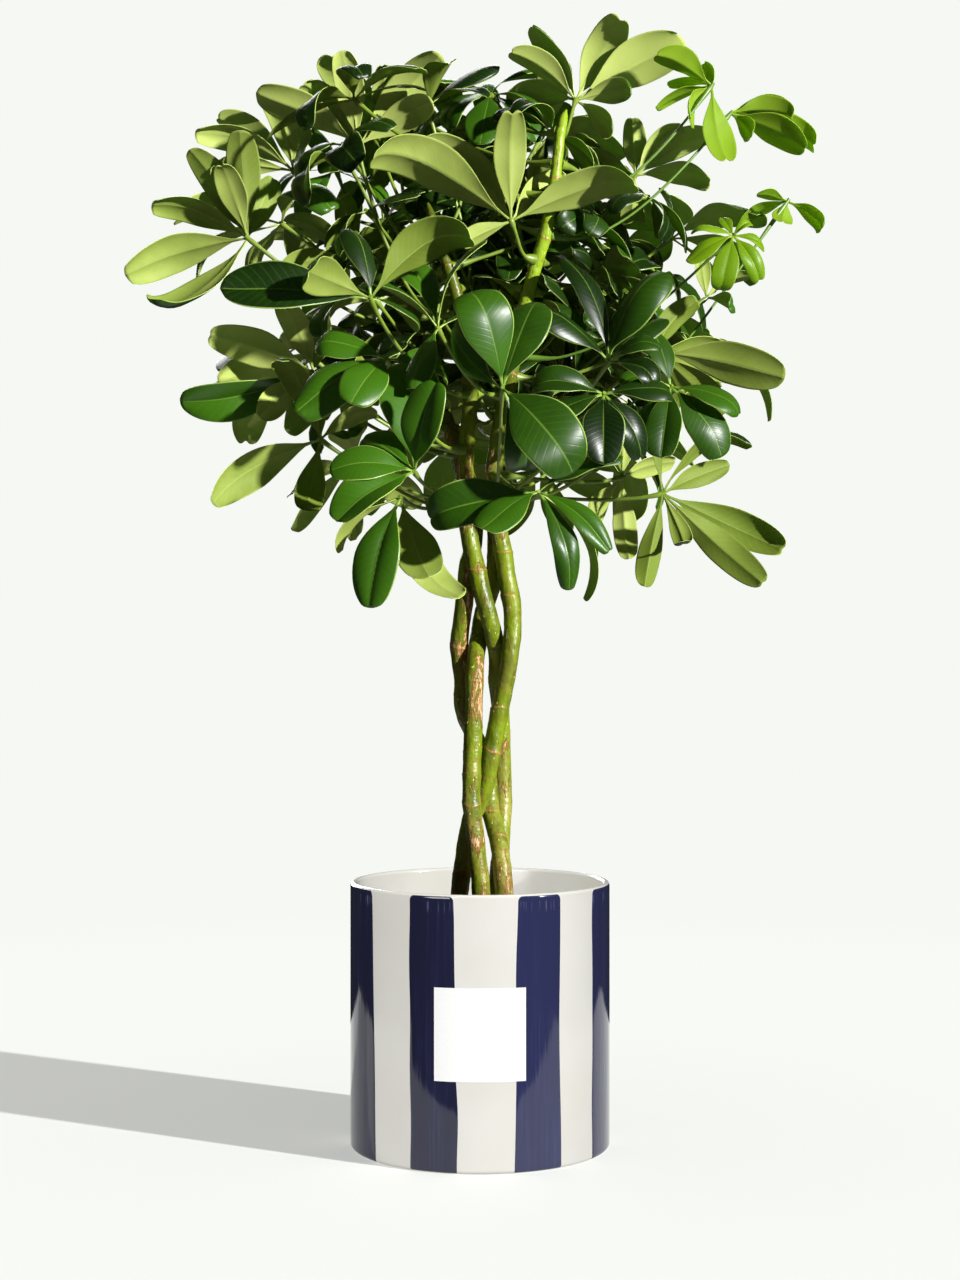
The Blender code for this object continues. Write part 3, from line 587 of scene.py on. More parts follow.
stemLook = {
    "cuts": (40, 30), "sides": 22, "fine": 0.006, "ridge": 0.0004, "ridgeWidth": 0.0009,
    "ridgeDip": 0.0022, "ridgeWave": 0.0006, "knob": 0.0005, "knobWidth": 0.006, "knobDrop": 0.002,
    "lumps": 0.00022, "lumpScale": 160, "grain": 0.0001, "grainScale": 700, "sunk": 0.0002,
    # a stretch of bark fades out over so much height, and sideways over so many degrees
    "barkFade": 0.014, "barkHalf": 100, "barkEdge": 60,
    # heights between which the stems turn greyer, darker with painted shade under the crown and, on the young
    # shoot, paler
    "aged": (0.34, 0.18), "shaded": (0.5, 0.6), "shoot": (0.56, 0.64),
    # heights of the old leaf scars on each stem, in millimetres
    "scars": {
        "stem_1": [437, 405, 320, 291, 246, 200, 520, 566, 610, 660, 700],
        "stem_2": [309, 291, 272, 252, 193, 341, 420, 455, 540, 590, 640, 680],
        "stem_3": [425, 366, 330, 268, 244, 226, 180, 520, 570, 620, 665],
        "stem_4": [423, 371, 345, 300, 252, 205, 520, 560, 600, 640],
    },
    # stretches of corky bark: lowest, highest, way that it faces (degrees from the front), how thick it is
    "bark": {
        "stem_1": [(0.36, 0.378, 30, 0.35), (0.12, 0.22, 0, 0.2), (0.44, 0.52, 0, 0.4)],
        "stem_2": [(0.305, 0.366, 50, 0.62), (0.21, 0.238, 15, 0.7), (0.12, 0.2, 0, 0.45),
            (0.25, 0.272, -30, 0.4), (0.43, 0.54, 0, 0.45)],
        "stem_3": [(0.352, 0.38, 10, 0.7), (0.3, 0.47, 50, 0.5), (0.12, 0.215, 0, 0.4),
            (0.236, 0.252, -50, 0.8), (0.44, 0.54, 0, 0.45)],
        "stem_4": [(0.281, 0.303, 30, 0.75), (0.252, 0.269, 0, 0.7), (0.385, 0.4, 30, 0.5),
            (0.415, 0.43, 0, 0.8), (0.44, 0.52, 0, 0.45)],
    },
    "green": rgb(107, 124, 14), "deepGreen": rgb(66, 80, 10), "olive": rgb(140, 134, 58),
    "young": rgb(132, 158, 34), "scar": rgb(158, 110, 66), "rust": rgb(122, 78, 32), "tan": rgb(184, 144, 96),
    "chalk": rgb(206, 178, 140), "pale": rgb(200, 192, 104),
}


def smoothRoute(points, spacing):
    # points about one spacing apart on a smooth curve through the given ones
    ends = [points[0] * 2 - points[1], *points, points[-1] * 2 - points[-2]]
    route = []
    for i in range(1, len(ends) - 2):
        before, start, end, after = ends[i - 1:i + 3]
        steps = max(1, round((end - start).length / spacing))
        for step in range(steps):
            t = step / steps
            route.append(0.5 * (
                2 * start + (end - before) * t
                + (2 * before - 5 * start + 4 * end - after) * t ** 2
                + (3 * start - before - 3 * end + after) * t ** 3
            ))
    route.append(points[-1])
    return route


def stemLines(spacing):
    lines = {}
    for name, points in stemRoutes.items():
        route = smoothRoute([Vector(point) * mm for point in points], spacing)
        top = route[-1].z
        radii = []
        for point in route:
            along = max(0.0, (point.z - stemSize["shootsStart"]) / (top - stemSize["shootsStart"]))
            radii.append(stemSize["radius"] + (stemSize["tipRadius"] - stemSize["radius"]) * along)
        lines[name] = (route, radii)
    return lines


def makeTubeMaster(name, sides, cuts):
    # a straight tube of radius 1 and length 1 along Z, with closed ends, cut across in one or more rounds
    deselectAll()
    bpy.ops.mesh.primitive_cylinder_add(vertices=sides, radius=1, depth=1, location=(0, 0, 0.5))
    tube = takePrimitive(name)
    settle(tube)
    bpy.ops.object.mode_set(mode="EDIT")
    bpy.ops.mesh.select_mode(type="EDGE")
    for count in cuts:
        bpy.ops.mesh.select_all(action="DESELECT")
        bpy.ops.object.mode_set(mode="OBJECT")
        points = pointsOf(tube)
        for edge in tube.data.edges:
            a, b = edge.vertices
            edge.select = np.hypot(*(points[a] - points[b])[:2]) < 1e-5
        bpy.ops.object.mode_set(mode="EDIT")
        bpy.ops.mesh.subdivide(number_cuts=count)
    bpy.ops.object.mode_set(mode="OBJECT")
    bpy.ops.object.shade_smooth_by_angle(angle=math.radians(60))
    return tube


def evenRoute(route, radii, count):
    # the route and its radii at evenly spaced places, as arrays
    spots = np.array(route)
    steps = np.linalg.norm(np.diff(spots, axis=0), axis=1)
    lengths = np.concatenate([[0], np.cumsum(steps)])
    wanted = np.linspace(0, lengths[-1], count)
    even = np.stack([np.interp(wanted, lengths, spots[:, axis]) for axis in range(3)], axis=1)
    return even, np.interp(wanted, lengths, radii)


def framesAlong(spots):
    # two directions square to the route at each spot, turning no more than they must
    tangents = np.gradient(spots, axis=0)
    tangents /= np.linalg.norm(tangents, axis=1)[:, None]
    side = np.cross(tangents[0], (0.3, 1.0, 0.2))  # any way that no route sets out in
    sides = []
    for tangent in tangents:
        side = side - tangent * np.dot(side, tangent)
        side /= np.linalg.norm(side)
        sides.append(side)
    sides = np.array(sides)
    return sides, np.cross(tangents, sides)


def layTube(tube, route, radii, swell=None):
    # bends a straight tube along the route; swell(heading, spot) adds to its radius
    points = pointsOf(tube)
    share = points[:, 2]
    spots, widths = evenRoute(route, radii, 400)
    sides, ups = framesAlong(spots)
    where = share * (len(spots) - 1)
    low = np.clip(where.astype(int), 0, len(spots) - 2)
    rest = (where - low)[:, None]
    middle, side, up = [values[low] * (1 - rest) + values[low + 1] * rest for values in (spots, sides, ups)]
    reach = np.hypot(points[:, 0], points[:, 1])
    cosine, sine = (points[:, :2] / np.maximum(reach, 1e-6)[:, None]).T
    heading = side * cosine[:, None] + up * sine[:, None]
    width = np.interp(share, np.linspace(0, 1, len(widths)), widths)
    if swell is not None:
        width = width + swell(heading, middle)
    movePoints(tube, middle + heading * (width * reach)[:, None])
    return middle, heading


def waves3(points, scale, seed):
    # smooth noise of about -1 to 1 at points
    chance = random.Random(seed)
    total = np.zeros(len(points))
    for _ in range(8):
        way = np.array([chance.gauss(0, 1) for _ in range(3)]) * scale
        total += np.sin(points @ way + chance.uniform(0, math.tau))
    return total / 4


def makeStem(name, route, radii, master, bark, seed):
    look = stemLook
    stem = copyOf(master, name.replace("stem", "braid"))
    chance = random.Random(seed)
    scars = [(z * mm, chance.uniform(0, math.tau), chance.uniform(0.6, 1.0)) for z in look["scars"][name]]

    def rings(middle, heading):
        # how near each point is to a scar ring, and to the knob below it; a ring dips on one side
        line = np.zeros(len(middle))
        knob = np.zeros(len(middle))
        around = np.arctan2(heading[:, 1], heading[:, 0])
        for height, facing, strength in scars:
            dip = look["ridgeDip"] * np.cos(around - facing) + look["ridgeWave"] * np.cos(3 * around + facing)
            away = middle[:, 2] - height + dip
            seen = np.clip(0.75 + 0.5 * np.cos(around - 2 * facing), 0.3, 1)
            line = np.maximum(line, strength * seen * np.exp(-(away / look["ridgeWidth"]) ** 2))
            below = (away + look["knobDrop"]) / look["knobWidth"]
            knob = np.maximum(knob, strength * np.exp(-below ** 2))
        return line, knob

    def swell(heading, middle):
        line, knob = rings(middle, heading)
        surface = middle + heading * 0.006
        lumps = look["lumps"] * waves3(surface, look["lumpScale"], seed)
        lumps = lumps + look["grain"] * waves3(surface, look["grainScale"], seed + 1)
        return look["ridge"] * line + look["knob"] * knob + lumps - look["sunk"]

    middle, heading = layTube(stem, route, radii, swell)
    line, _ = rings(middle, heading)
    facing = np.degrees(np.arctan2(heading[:, 0], -heading[:, 1]))
    rough = np.zeros(len(middle))
    for low, high, towards, thickness in look["bark"][name]:
        inside = np.clip((middle[:, 2] - low) / look["barkFade"], 0, 1)
        inside = inside * np.clip((high - middle[:, 2]) / look["barkFade"], 0, 1)
        turned = np.abs((facing - towards + 180) % 360 - 180)
        inside = inside * np.clip((look["barkHalf"] - turned) / look["barkEdge"], 0, 1)
        rough = np.maximum(rough, thickness * inside)
    setValues(stem, "scar", line)
    setValues(stem, "rough", rough)
    setValues(stem, "shoot", 1.0 if name == "stem_1" else 0.0)
    dress(stem, bark)
    return part(stem, "green_bark", name)


def corkColour(tree):
    # tan, with chalky and rusty grain
    fine = noise(tree, 620, 4, 0.7, along=0.22)
    return layered(
        tree, stemLook["tan"],
        (between(tree, fine, 0.42, 0.6), stemLook["chalk"]),
        (between(tree, fine, 0.46, 0.36), stemLook["rust"]))


def makeBark():
    look = stemLook
    material, tree, shader = newMaterial("greenBark")
    height = axesOf(tree, objectPlace(tree))[2]
    old = between(tree, height, *look["aged"])
    streak = noise(tree, 110, 4, along=0.22)
    blotch = between(tree, noise(tree, 70, 4, 0.65, along=0.4), 0.42, 0.66)
    aged = times(tree, blotch, between(tree, old, 0, 1, 0.3, 0.95))
    shoot = times(tree, between(tree, height, *look["shoot"]), valueOf(tree, "shoot"))
    # cork breaks through in ragged patches with a rusty edge, and here and there in small flakes
    ragged = noise(tree, 250, 5, 0.75, along=0.22)
    edge = plus(tree, valueOf(tree, "rough"), times(tree, calc(tree, "SUBTRACT", ragged, 0.5), 3.2))
    rusty = between(tree, edge, 0.36, 0.5)
    corked = between(tree, edge, 0.6, 0.9)
    flakes = noise(tree, 300, 5, 0.75, along=0.7)
    flecked = calc(tree, "SUBTRACT", flakes, times(tree, old, 0.05))
    broken = between(tree, noise(tree, 190, 4), 0.36, 0.5)
    ring = times(tree, between(tree, valueOf(tree, "scar"), 0.35, 0.6), broken)
    cells = addNode(
        tree, "ShaderNodeTexVoronoi", {"Vector": objectPlace(tree, 0.5), "Scale": 210, "Randomness": 1.0})
    spots = between(tree, cells.outputs["Distance"], 0.13, 0.07)
    colour = layered(
        tree, look["green"],
        (between(tree, streak, 0.38, 0.7), look["deepGreen"]),
        (aged, look["olive"]),
        # painted shade: the stems blend towards deep green under the crown
        (times(tree, between(tree, height, *look["shaded"]), 0.8), look["deepGreen"]),
        (shoot, look["young"]),
        (times(tree, rusty, 0.8), look["rust"]),
        (corked, corkColour(tree)),
        (times(tree, between(tree, flecked, 0.41, 0.36), 0.75), look["rust"]),
        (times(tree, between(tree, flakes, 0.62, 0.7), 0.6), look["tan"]),
        (times(tree, ring, 0.85), look["scar"]),
        (times(tree, spots, 0.75), look["pale"]))
    skin = between(tree, corked, 0, 1, 0.36, 0.8)
    feed(tree, shader, {"Base Color": colour, "Roughness": skin, "Specular IOR Level": 0.3})
    relief = plus(tree, times(tree, ragged, rusty), times(tree, spots, 0.4))
    lumps = times(tree, noise(tree, 330, along=0.6), 0.7)
    bump(tree, shader, plus(tree, relief, lumps), 0.9, 0.0009)
    return material


stems = stemLines(stemSize["spacing"])
stemMaster = makeTubeMaster("stemMaster", stemLook["sides"], stemLook["cuts"])
bark = makeBark()
for seed, (name, (route, radii)) in enumerate(stemLines(stemLook["fine"]).items()):
    radii[-3:] = [radii[-3] * share for share in stemSize["rounding"]]
    makeStem(name, route, radii, stemMaster, bark, seed + 20)
bpy.data.objects.remove(stemMaster, do_unlink=True)
print("stems made")


# Leaves. The front ones are placed one by one: hub in millimetres, the way that the umbrella faces, half of a
# leaflet's width as part of its length, and the leaflets. A direction is its angle in the front view, from
# +X towards +Z, and its tilt towards the front. A leaflet adds its length in millimetres, and some add a roll
# about their own length and how broad they are.

leafPlan = [
    ("left_wing", (-170, -10, 665), (95, -58), 0.155,
     [(-165, 0, 95), (-140, 12, 100, 65), (155, -5, 75), (122, -10, 85), (108, 25, 62), (94, 0, 80),
      (72, -30, 65)]),
    ("left_upper", (-140, 25, 722), (78, -50), 0.16,
     [(155, 0, 80), (172, 15, 65), (140, -20, 80), (112, -10, 65), (92, -45, 75)]),
    ("upper_left", (-90, 0, 735), (78, -52), 0.16,
     [(155, 0, 88), (138, 5, 72), (99, 5, 70), (48, 0, 90), (27, 20, 68), (120, -40, 60)]),
    ("centre_top", (22, -70, 666), (90, -56), 0.15,
     [(149, 0, 116), (133, -20, 104), (90, 0, 80), (21, 0, 96), (50, -45, 80), (-150, 30, 45)]),
    ("crown", (70, -10, 766), (76, -52), 0.185,
     [(145, 10, 62, -18), (120, 0, 66, -24), (61, 0, 71), (28, 5, 90), (8, 20, 50), (-45, 25, 46),
      (160, -35, 62)]),
    ("young_top", (168, -25, 773), (100, -30), 0.22,
     [(152, 15, 48, 0, 1.15), (-120, 25, 42, 0, 1.1), (-80, 8, 62, 0, 0.8), (-162, -20, 45, 0, 0.7),
      (168, -35, 38, 0, 0.5), (100, -30, 24)]),
    ("young_tip", (183, -12, 756), (95, -40), 0.2,
     [(-4, 8, 48, 0, 1.1), (8, -14, 56), (-18, -4, 62), (-9, -22, 80, 0, 0.7), (-55, 25, 30, 0, 1.2)]),
    ("young_right", (225, -10, 692), (80, -40), 0.23,
     [(-38, 10, 37), (-106, 25, 21, 0, 1.6), (166, 10, 24), (-167, -25, 40, 0, 0.5)]),
    ("young_front", (176, -90, 652), (85, 45), 0.17,
     [(167, 10, 32), (-153, 12, 39), (-104, 12, 46), (-72, 12, 38), (-26, 0, 26), (30, -15, 18),
      (84, -10, 20)]),
    ("left_middle", (-74, -130, 602), (75, 25), 0.2,
     [(177, 5, 102, -40), (160, 38, 68, 100), (41, -5, 84, -90), (104, -20, 62), (-20, -40, 50)]),
    ("left_low", (-120, -35, 564), (95, -60), 0.155,
     [(160, 0, 82), (-165, 10, 100, 168), (113, 0, 58), (178, -25, 80), (-145, 25, 65), (85, -35, 60)]),
    ("low_left", (-113, -60, 513), (95, -55), 0.155,
     [(-152, 5, 92), (-98, 30, 68), (140, 0, 74), (35, -20, 50), (100, -35, 60)]),
    ("low_front", (-44, -138, 484), (90, 50), 0.25,
     [(76, 20, 66), (101, -20, 88), (140, -25, 54), (178, 15, 60), (-148, 30, 70)]),
    ("low_hanging", (-54, -118, 468), (95, 20), 0.2,
     [(-105, 14, 84), (-77, 26, 66, 180, 1.2), (-60, 6, 82, 180, 0.8), (-140, -12, 60)]),
    ("centre", (15, -155, 538), (85, 62), 0.24,
     [(106, 15, 76), (70, -15, 72), (-50, 25, 86), (-72, -20, 68), (128, -25, 66, -60)]),
    ("centre_low", (39, -145, 470), (90, 28), 0.18,
     [(-142, 35, 60, 0, 1.2), (-168, 0, 80, -45, 1.2), (-70, 15, 73, 0, 0.7), (-47, 10, 67, 0, 0.7),
      (-60, -26, 92, 0, 0.8), (28, 10, 62)]),
    ("right_middle", (88, -115, 561), (90, 38), 0.22,
     [(142, 10, 70, 0, 1.1), (110, -10, 84, 30, 0.6), (76, 5, 78, -20, 1.1), (40, -20, 58), (22, 30, 42),
      (-20, 40, 44)]),
    ("right_front", (83, -140, 536), (90, 52), 0.23,
     [(170, 15, 52), (-92, 25, 58), (-56, 5, 52), (-135, 30, 60), (8, 5, 52)]),
    ("right_near", (132, -95, 546), (90, 32), 0.2,
     [(172, 30, 42), (-18, 12, 55, 0, 1.25), (-52, 15, 62, 0, 1.25), (-84, 30, 60), (-118, 0, 52),
      (105, -20, 50)]),
    ("right_wing", (125, -70, 574), (90, -62), 0.165,
     [(-13, 4, 92, 6, 1.1), (-34, -22, 74), (0, -50, 104), (48, -30, 58)]),
    ("low_right", (130, -55, 475), (90, -66), 0.16,
     [(-25, 0, 97, -16, 0.85), (-43, 10, 98, -16, 0.7), (-102, 10, 70, 0, 0.8), (-70, 25, 52, 0, 0.8),
      (42, 5, 80, 60, 0.75), (82, 10, 78, 40, 0.75), (24, -25, 62, 0, 0.8)]),
    ("front_left", (-29, -100, 586), (95, 0), 0.2,
     [(72, 0, 72), (118, -25, 70), (165, 20, 62), (30, -45, 64), (-112, 40, 62)]),
    ("left_near", (-64, -105, 564), (80, 45), 0.22,
     [(-147, 20, 78), (175, 5, 58), (-102, 35, 62), (40, -30, 62)]),
    ("left_back", (-95, 20, 655), (90, -50), 0.17,
     [(100, 0, 52), (72, -10, 50), (145, 0, 60), (-172, 15, 56), (20, -20, 56)]),
    ("right_inner", (115, 10, 715), (90, -45), 0.18,
     [(92, -10, 48), (62, -15, 54), (38, 0, 66), (-2, 10, 58), (-95, 30, 50), (150, -25, 54)]),
    ("dark_top", (8, 20, 778), (90, 10), 0.22,
     [(-165, 15, 78), (172, -10, 66), (-135, 35, 62), (-100, 40, 60), (-60, 35, 60), (-25, 20, 56),
      (30, -10, 46)]),
    ("left_shade", (-110, 60, 730), (90, 15), 0.2,
     [(-170, 20, 56), (130, -20, 58), (-35, 30, 58), (35, 0, 54), (-105, 35, 58)]),
    ("low_inner", (104, -10, 490), (95, -50), 0.16,
     [(-86, 0, 62, 0, 0.9), (-126, 10, 44, 0, 1.2), (150, -30, 50), (95, -30, 54), (20, -40, 58)]),
    ("right_small", (165, -20, 620), (80, -40), 0.16,
     [(25, -10, 40), (0, 0, 42), (-18, 10, 46), (-50, 30, 38), (80, -20, 36)]),
]

# Name, how many, first and last azimuth seen from above, height, distance from the middle, outward lean of
# the umbrella, cup of the leaflets, leaflet length
leafRings = [
    ("back_low", 4, 38, 142, 520, 138, 0.9, -14, 86),
    ("back_middle", 6, 12, 150, 604, 172, 0.8, -6, 86),
    ("back_high", 5, 25, 160, 676, 158, 0.6, 4, 84),
    ("top", 3, 60, 150, 748, 70, 0.3, 14, 78),
    ("inner", 4, 5, 175, 628, 84, 0.7, 6, 74),
]
# leaves whose petiole climbs more steeply than most, in degrees
steepPetioles = {
    "centre_top": 75, "upper_left": 55, "crown": 80, "young_top": 45, "young_tip": 45, "young_right": 45,
}
ringLeaves = {"leaflets": 7, "breadth": 0.18, "wobble": 14, "sway": 24, "rise": 9, "lengths": (0.8, 1.08)}
petioleSize = {
    "radius": 0.0015, "steps": 4, "hubRadius": 0.0025, "hubHeight": 0.004, "clearance": 0.0008,
    "usualClimb": 25, "climbCost": 45, "feet": 40, "bulges": (0.0, 0.12, -0.1),
}
leafletSize = {
    "stalk": 0.11, "stalkHalfWidth": 0.0009, "clearance": 0.0018, "sway": 9, "bend": (20, 62),
    "widths": (0.92, 1.08),
    # turns in degrees and sizes that are tried
    "yaws": range(-28, 29, 7), "pitches": range(-24, 25, 8), "scales": (1.0, 0.88, 0.76), "shrinkCost": 130,
    # where along a leaflet the skin that is tested starts, against everything else and against its own
    # leaf's other leaflets, and where it goes on
    "testFrom": 0.05, "ownFrom": 0.25, "tests": (0.3, 0.5, 0.7, 0.88, 1.0),
}


def frontDirection(angle, towards):
    a = math.radians(angle)
    t = math.radians(towards)
    return Vector((math.cos(a) * math.cos(t), -math.sin(t), math.sin(a) * math.cos(t)))


def spokeOf(angle, towards, length, roll=0, broad=1.0):
    return frontDirection(angle, towards), length * mm, roll, broad


def ringSpokes(axis, cup, length, chance):
    # leaflets spread evenly round the axis, raised above or hanging below its plane by the cup angle
    start = axis.orthogonal().normalized()
    turn = chance.uniform(0, math.tau)
    spokes = []
    for i in range(ringLeaves["leaflets"]):
        around = turn + math.tau * i / ringLeaves["leaflets"]
        outward = Quaternion(axis, around) @ start
        rise = math.radians(cup + chance.uniform(-ringLeaves["rise"], ringLeaves["rise"]))
        way = outward * math.cos(rise) + axis * math.sin(rise)
        spokes.append((way, length * chance.uniform(*ringLeaves["lengths"]), 0, 1.0))
    return spokes


def plannedLeaves():
    leaves = []
    for name, hub, facing, breadth, leaflets in leafPlan:
        leaves.append({
            "name": f"leaf_{name}", "hub": Vector(hub) * mm, "axis": frontDirection(*facing),
            "breadth": breadth, "spokes": [spokeOf(*leaflet) for leaflet in leaflets],
            "sway": leafletSize["sway"]})
    chance = random.Random(11)
    for name, count, first, last, height, reach, lean, cup, length in leafRings:
        for i in range(count):
            azimuth = math.radians(first + (last - first) * i / (count - 1))
            outward = Vector((math.cos(azimuth), math.sin(azimuth), 0.0))
            stray = Vector([chance.uniform(-ringLeaves["wobble"], ringLeaves["wobble"]) for _ in range(3)])
            hub = (outward * reach + Vector((0, 0, height)) + stray) * mm
            axis = (outward * lean + Vector((0, 0, 1))).normalized()
            leaves.append({
                "name": f"leaf_{name}_{i + 1}", "hub": hub, "axis": axis, "breadth": ringLeaves["breadth"],
                "spokes": ringSpokes(axis, cup, length * mm, chance), "sway": ringLeaves["sway"]})
    return leaves


def halfWidth(leaflet, t):
    stalk = leafletSize["stalk"]
    if t <= stalk:
        return leafletSize["stalkHalfWidth"]
    u = min(0.999, (t - stalk) / (1 - stalk))
    outline = math.sin(math.pi * u ** 1.35) ** (0.95 - 0.4 * u)
    return leafletSize["stalkHalfWidth"] + leaflet["half"] * outline


def station(leaflet, t):
    # the midrib's point at t along a leaflet, which arches, and the blade's upward normal there
    bend = leaflet["bend"]
    turn = bend * (t - 0.5)
    radius = leaflet["length"] / bend
    reach = radius * (math.sin(turn) + math.sin(bend / 2))
    rise = radius * (math.cos(turn) - math.cos(bend / 2))
    point = leaflet["hub"] + leaflet["along"] * reach + leaflet["normal"] * rise
    return point, leaflet["normal"] * math.cos(turn) + leaflet["along"] * math.sin(turn)


def placeLeaflet(leaf, spoke, yaw, pitch, scale, traits):
    # turned in its blade's plane by yaw and out of it by pitch
    direction, length = spoke[:2]
    normal = leaf["axis"] - direction * leaf["axis"].dot(direction)
    if normal.length < 0.05:
        normal = direction.orthogonal()
    normal.normalize()
    side = normal.cross(direction)
    swing = Quaternion(normal, math.radians(yaw)) @ Quaternion(side, math.radians(pitch))
    along = swing @ direction
    roll = Quaternion(along, math.radians(traits["roll"]))
    normal = roll @ (swing @ normal)
    length *= scale
    return {
        "hub": leaf["hub"], "along": along, "normal": normal, "side": normal.cross(along),
        "length": length, "bend": math.radians(traits["bend"]), "half": length * traits["half"]}


def treeOf(rings):
    # a search tree of a closed skin through the rings, with the ball that holds it
    points = [point for ring in rings for point in ring]
    count = len(rings[0])
    faces = [tuple(range(count)), tuple(range(len(points) - count, len(points)))]
    for row in range(len(rings) - 1):
        for i in range(count):
            j = (i + 1) % count
            faces.append((row * count + i, row * count + j, (row + 1) * count + j, (row + 1) * count + i))
    middle = sum(points, Vector()) / len(points)
    reach = max((point - middle).length for point in points)
    return BVHTree.FromPolygons(points, faces), middle, reach


def leafletTree(leaflet, start):
    rings = []
    for t in (start, *leafletSize["tests"]):
        point, lift = station(leaflet, t)
        wide = leaflet["side"] * (halfWidth(leaflet, t) + leafletSize["clearance"] / 2)
        thick = lift * leafletSize["clearance"]
        rings.append([point + wide + thick, point - wide + thick, point - wide - thick, point + wide - thick])
    return treeOf(rings)


def tubeTree(route, radii):
    rings = []
    for i, point in enumerate(route):
        along = (route[min(i + 1, len(route) - 1)] - route[max(i - 1, 0)]).normalized()
        across = along.orthogonal().normalized()
        up = along.cross(across)
        turns = [math.tau * k / 6 for k in range(6)]
        rings.append([point + (across * math.cos(a) + up * math.sin(a)) * radii[i] for a in turns])
    return treeOf(rings)


def isClear(tree, others):
    mesh, middle, reach = tree
    for other, otherMiddle, otherReach in others:
        near = (middle - otherMiddle).length < reach + otherReach
        if near and mesh.overlap(other):
            return False
    return True


def petioleCurve(foot, outward, hub, axis, bulge, steps):
    # leaves its stem squarely, curves up and meets its hub from below
    hubHeight = petioleSize["hubHeight"]
    arrive = (axis * 0.5 + (hub - foot).normalized()).normalized()
    start = foot + outward * hubHeight
    end = hub - arrive * hubHeight * 0.7
    span = (end - start).length
    first = start + (outward * 0.3 + Vector((0, 0, bulge))) * span
    last = end - arrive * span * 0.3
    route = [foot]
    for i in range(steps + 1):
        t = i / steps
        route.append(
            start * (1 - t) ** 3 + first * 3 * t * (1 - t) ** 2 + last * 3 * t ** 2 * (1 - t) + end * t ** 3)
    route.append(hub + arrive * hubHeight * 0.3)
    return route


def petioleFeet(leaf):
    # places on the stems for a leaf to grow from, the best first: near, and lower than its hub
    feet = []
    wanted = steepPetioles.get(leaf["name"].removeprefix("leaf_"), petioleSize["usualClimb"])
    for route, radii in stems.values():
        for i in range(1, len(route) - 1):
            point = route[i]
            if point.z < stemSize["shootsStart"]:
                continue
            along = (route[i + 1] - route[i - 1]).normalized()
            way = leaf["hub"] - point
            outward = (way - along * way.dot(along)).normalized()
            climb = math.degrees(math.atan2(way.z, Vector((way.x, way.y)).length))
            cost = way.length * (1 + abs(climb - wanted) / petioleSize["climbCost"])
            feet.append((cost, point + outward * (radii[i] + 2 * gap), outward))
    feet.sort(key=lambda foot: foot[0])
    return feet


def petioleTree(route):
    radii = [petioleSize["radius"] + petioleSize["clearance"]] * (len(route) - 1)
    return tubeTree(route, radii + [petioleSize["hubRadius"] + petioleSize["clearance"]])


def leafletTries():
    # changes to try for a leaflet, from none at all to the largest
    def cost(change):
        yaw, pitch, scale = change
        return abs(yaw) + abs(pitch) + (1 - scale) * leafletSize["shrinkCost"], *change

    return sorted(itertools.product(*[leafletSize[key] for key in ("yaws", "pitches", "scales")]), key=cost)


def growPetioles(leaves, petioles):
    # every petiole finds a way clear of the stems and of the others; a leaf that finds none is left out
    grown = []
    for leaf in leaves:
        feet = petioleFeet(leaf)[:petioleSize["feet"]]
        for (_, foot, outward), bulge in itertools.product(feet, petioleSize["bulges"]):
            way = (foot, outward, leaf["hub"], leaf["axis"], bulge)
            route = petioleCurve(*way, petioleSize["steps"])
            if isClear(petioleTree(route[2:]), stemTrees) and isClear(petioleTree(route), petioles):
                leaf["way"] = way
                petioles.append(petioleTree(route))
                grown.append(leaf)
                break
    return grown


def growLeaflets(leaves, petioles, placed, chance):
    first = len(petioles) - len(leaves)
    tries = leafletTries()
    for index, leaf in enumerate(leaves, first):
        others = stemTrees + petioles[:index] + petioles[index + 1:] + placed
        leaf["leaflets"] = []
        own = []
        for spoke in leaf["spokes"]:
            traits = {
                "roll": spoke[2] + leaf["sway"] * chance.uniform(-1, 1),
                "bend": chance.uniform(*leafletSize["bend"]),
                "half": leaf["breadth"] * spoke[3] * chance.uniform(*leafletSize["widths"])}
            for yaw, pitch, scale in tries:
                leaflet = placeLeaflet(leaf, spoke, yaw, pitch, scale, traits)
                if not isClear(leafletTree(leaflet, leafletSize["testFrom"]), others):
                    continue
                outer = leafletTree(leaflet, leafletSize["ownFrom"])
                if isClear(outer, own):
                    leaf["leaflets"].append(leaflet)
                    own.append(outer)
                    break
        placed += [leafletTree(leaflet, 0.0) for leaflet in leaf["leaflets"]]


# Small leaves that fill the shaded inside of the crown: lowest and highest hub, the crown's middle and its
# height above that, distances from the stems
fillLeaves = {
    "count": 105, "low": 0.55, "high": 0.775, "middle": 0.62, "rise": 0.18, "near": 0.03, "far": 0.165,
    "length": (0.05, 0.072), "lean": (0.2, 1.2), "cup": (-25, 10), "breadth": 0.2, "sway": 24, "front": 0.02,
    "seed": 7,
}


def innerLeaves():
    look = fillLeaves
    chance = random.Random(look["seed"])
    leaves = []
    for i in range(look["count"]):
        azimuth = chance.uniform(0, math.tau)
        height = chance.uniform(look["low"], look["high"])
        dome = math.sqrt(1 - ((height - look["middle"]) / look["rise"]) ** 2)
        reach = chance.uniform(look["near"], look["far"] * dome)
        outward = Vector((math.cos(azimuth), math.sin(azimuth), 0))
        hub = outward * reach + Vector((0, 0, height))
        hub.y = abs(hub.y) - look["front"]
        axis = (outward * chance.uniform(*look["lean"]) + Vector((0, 0, 1))).normalized()
        spokes = ringSpokes(axis, chance.uniform(*look["cup"]), chance.uniform(*look["length"]), chance)
        leaves.append({
            "name": f"inner_leaf_{i + 1}", "hub": hub, "axis": axis, "breadth": look["breadth"],
            "spokes": spokes, "sway": look["sway"], "fill": True})
    return leaves


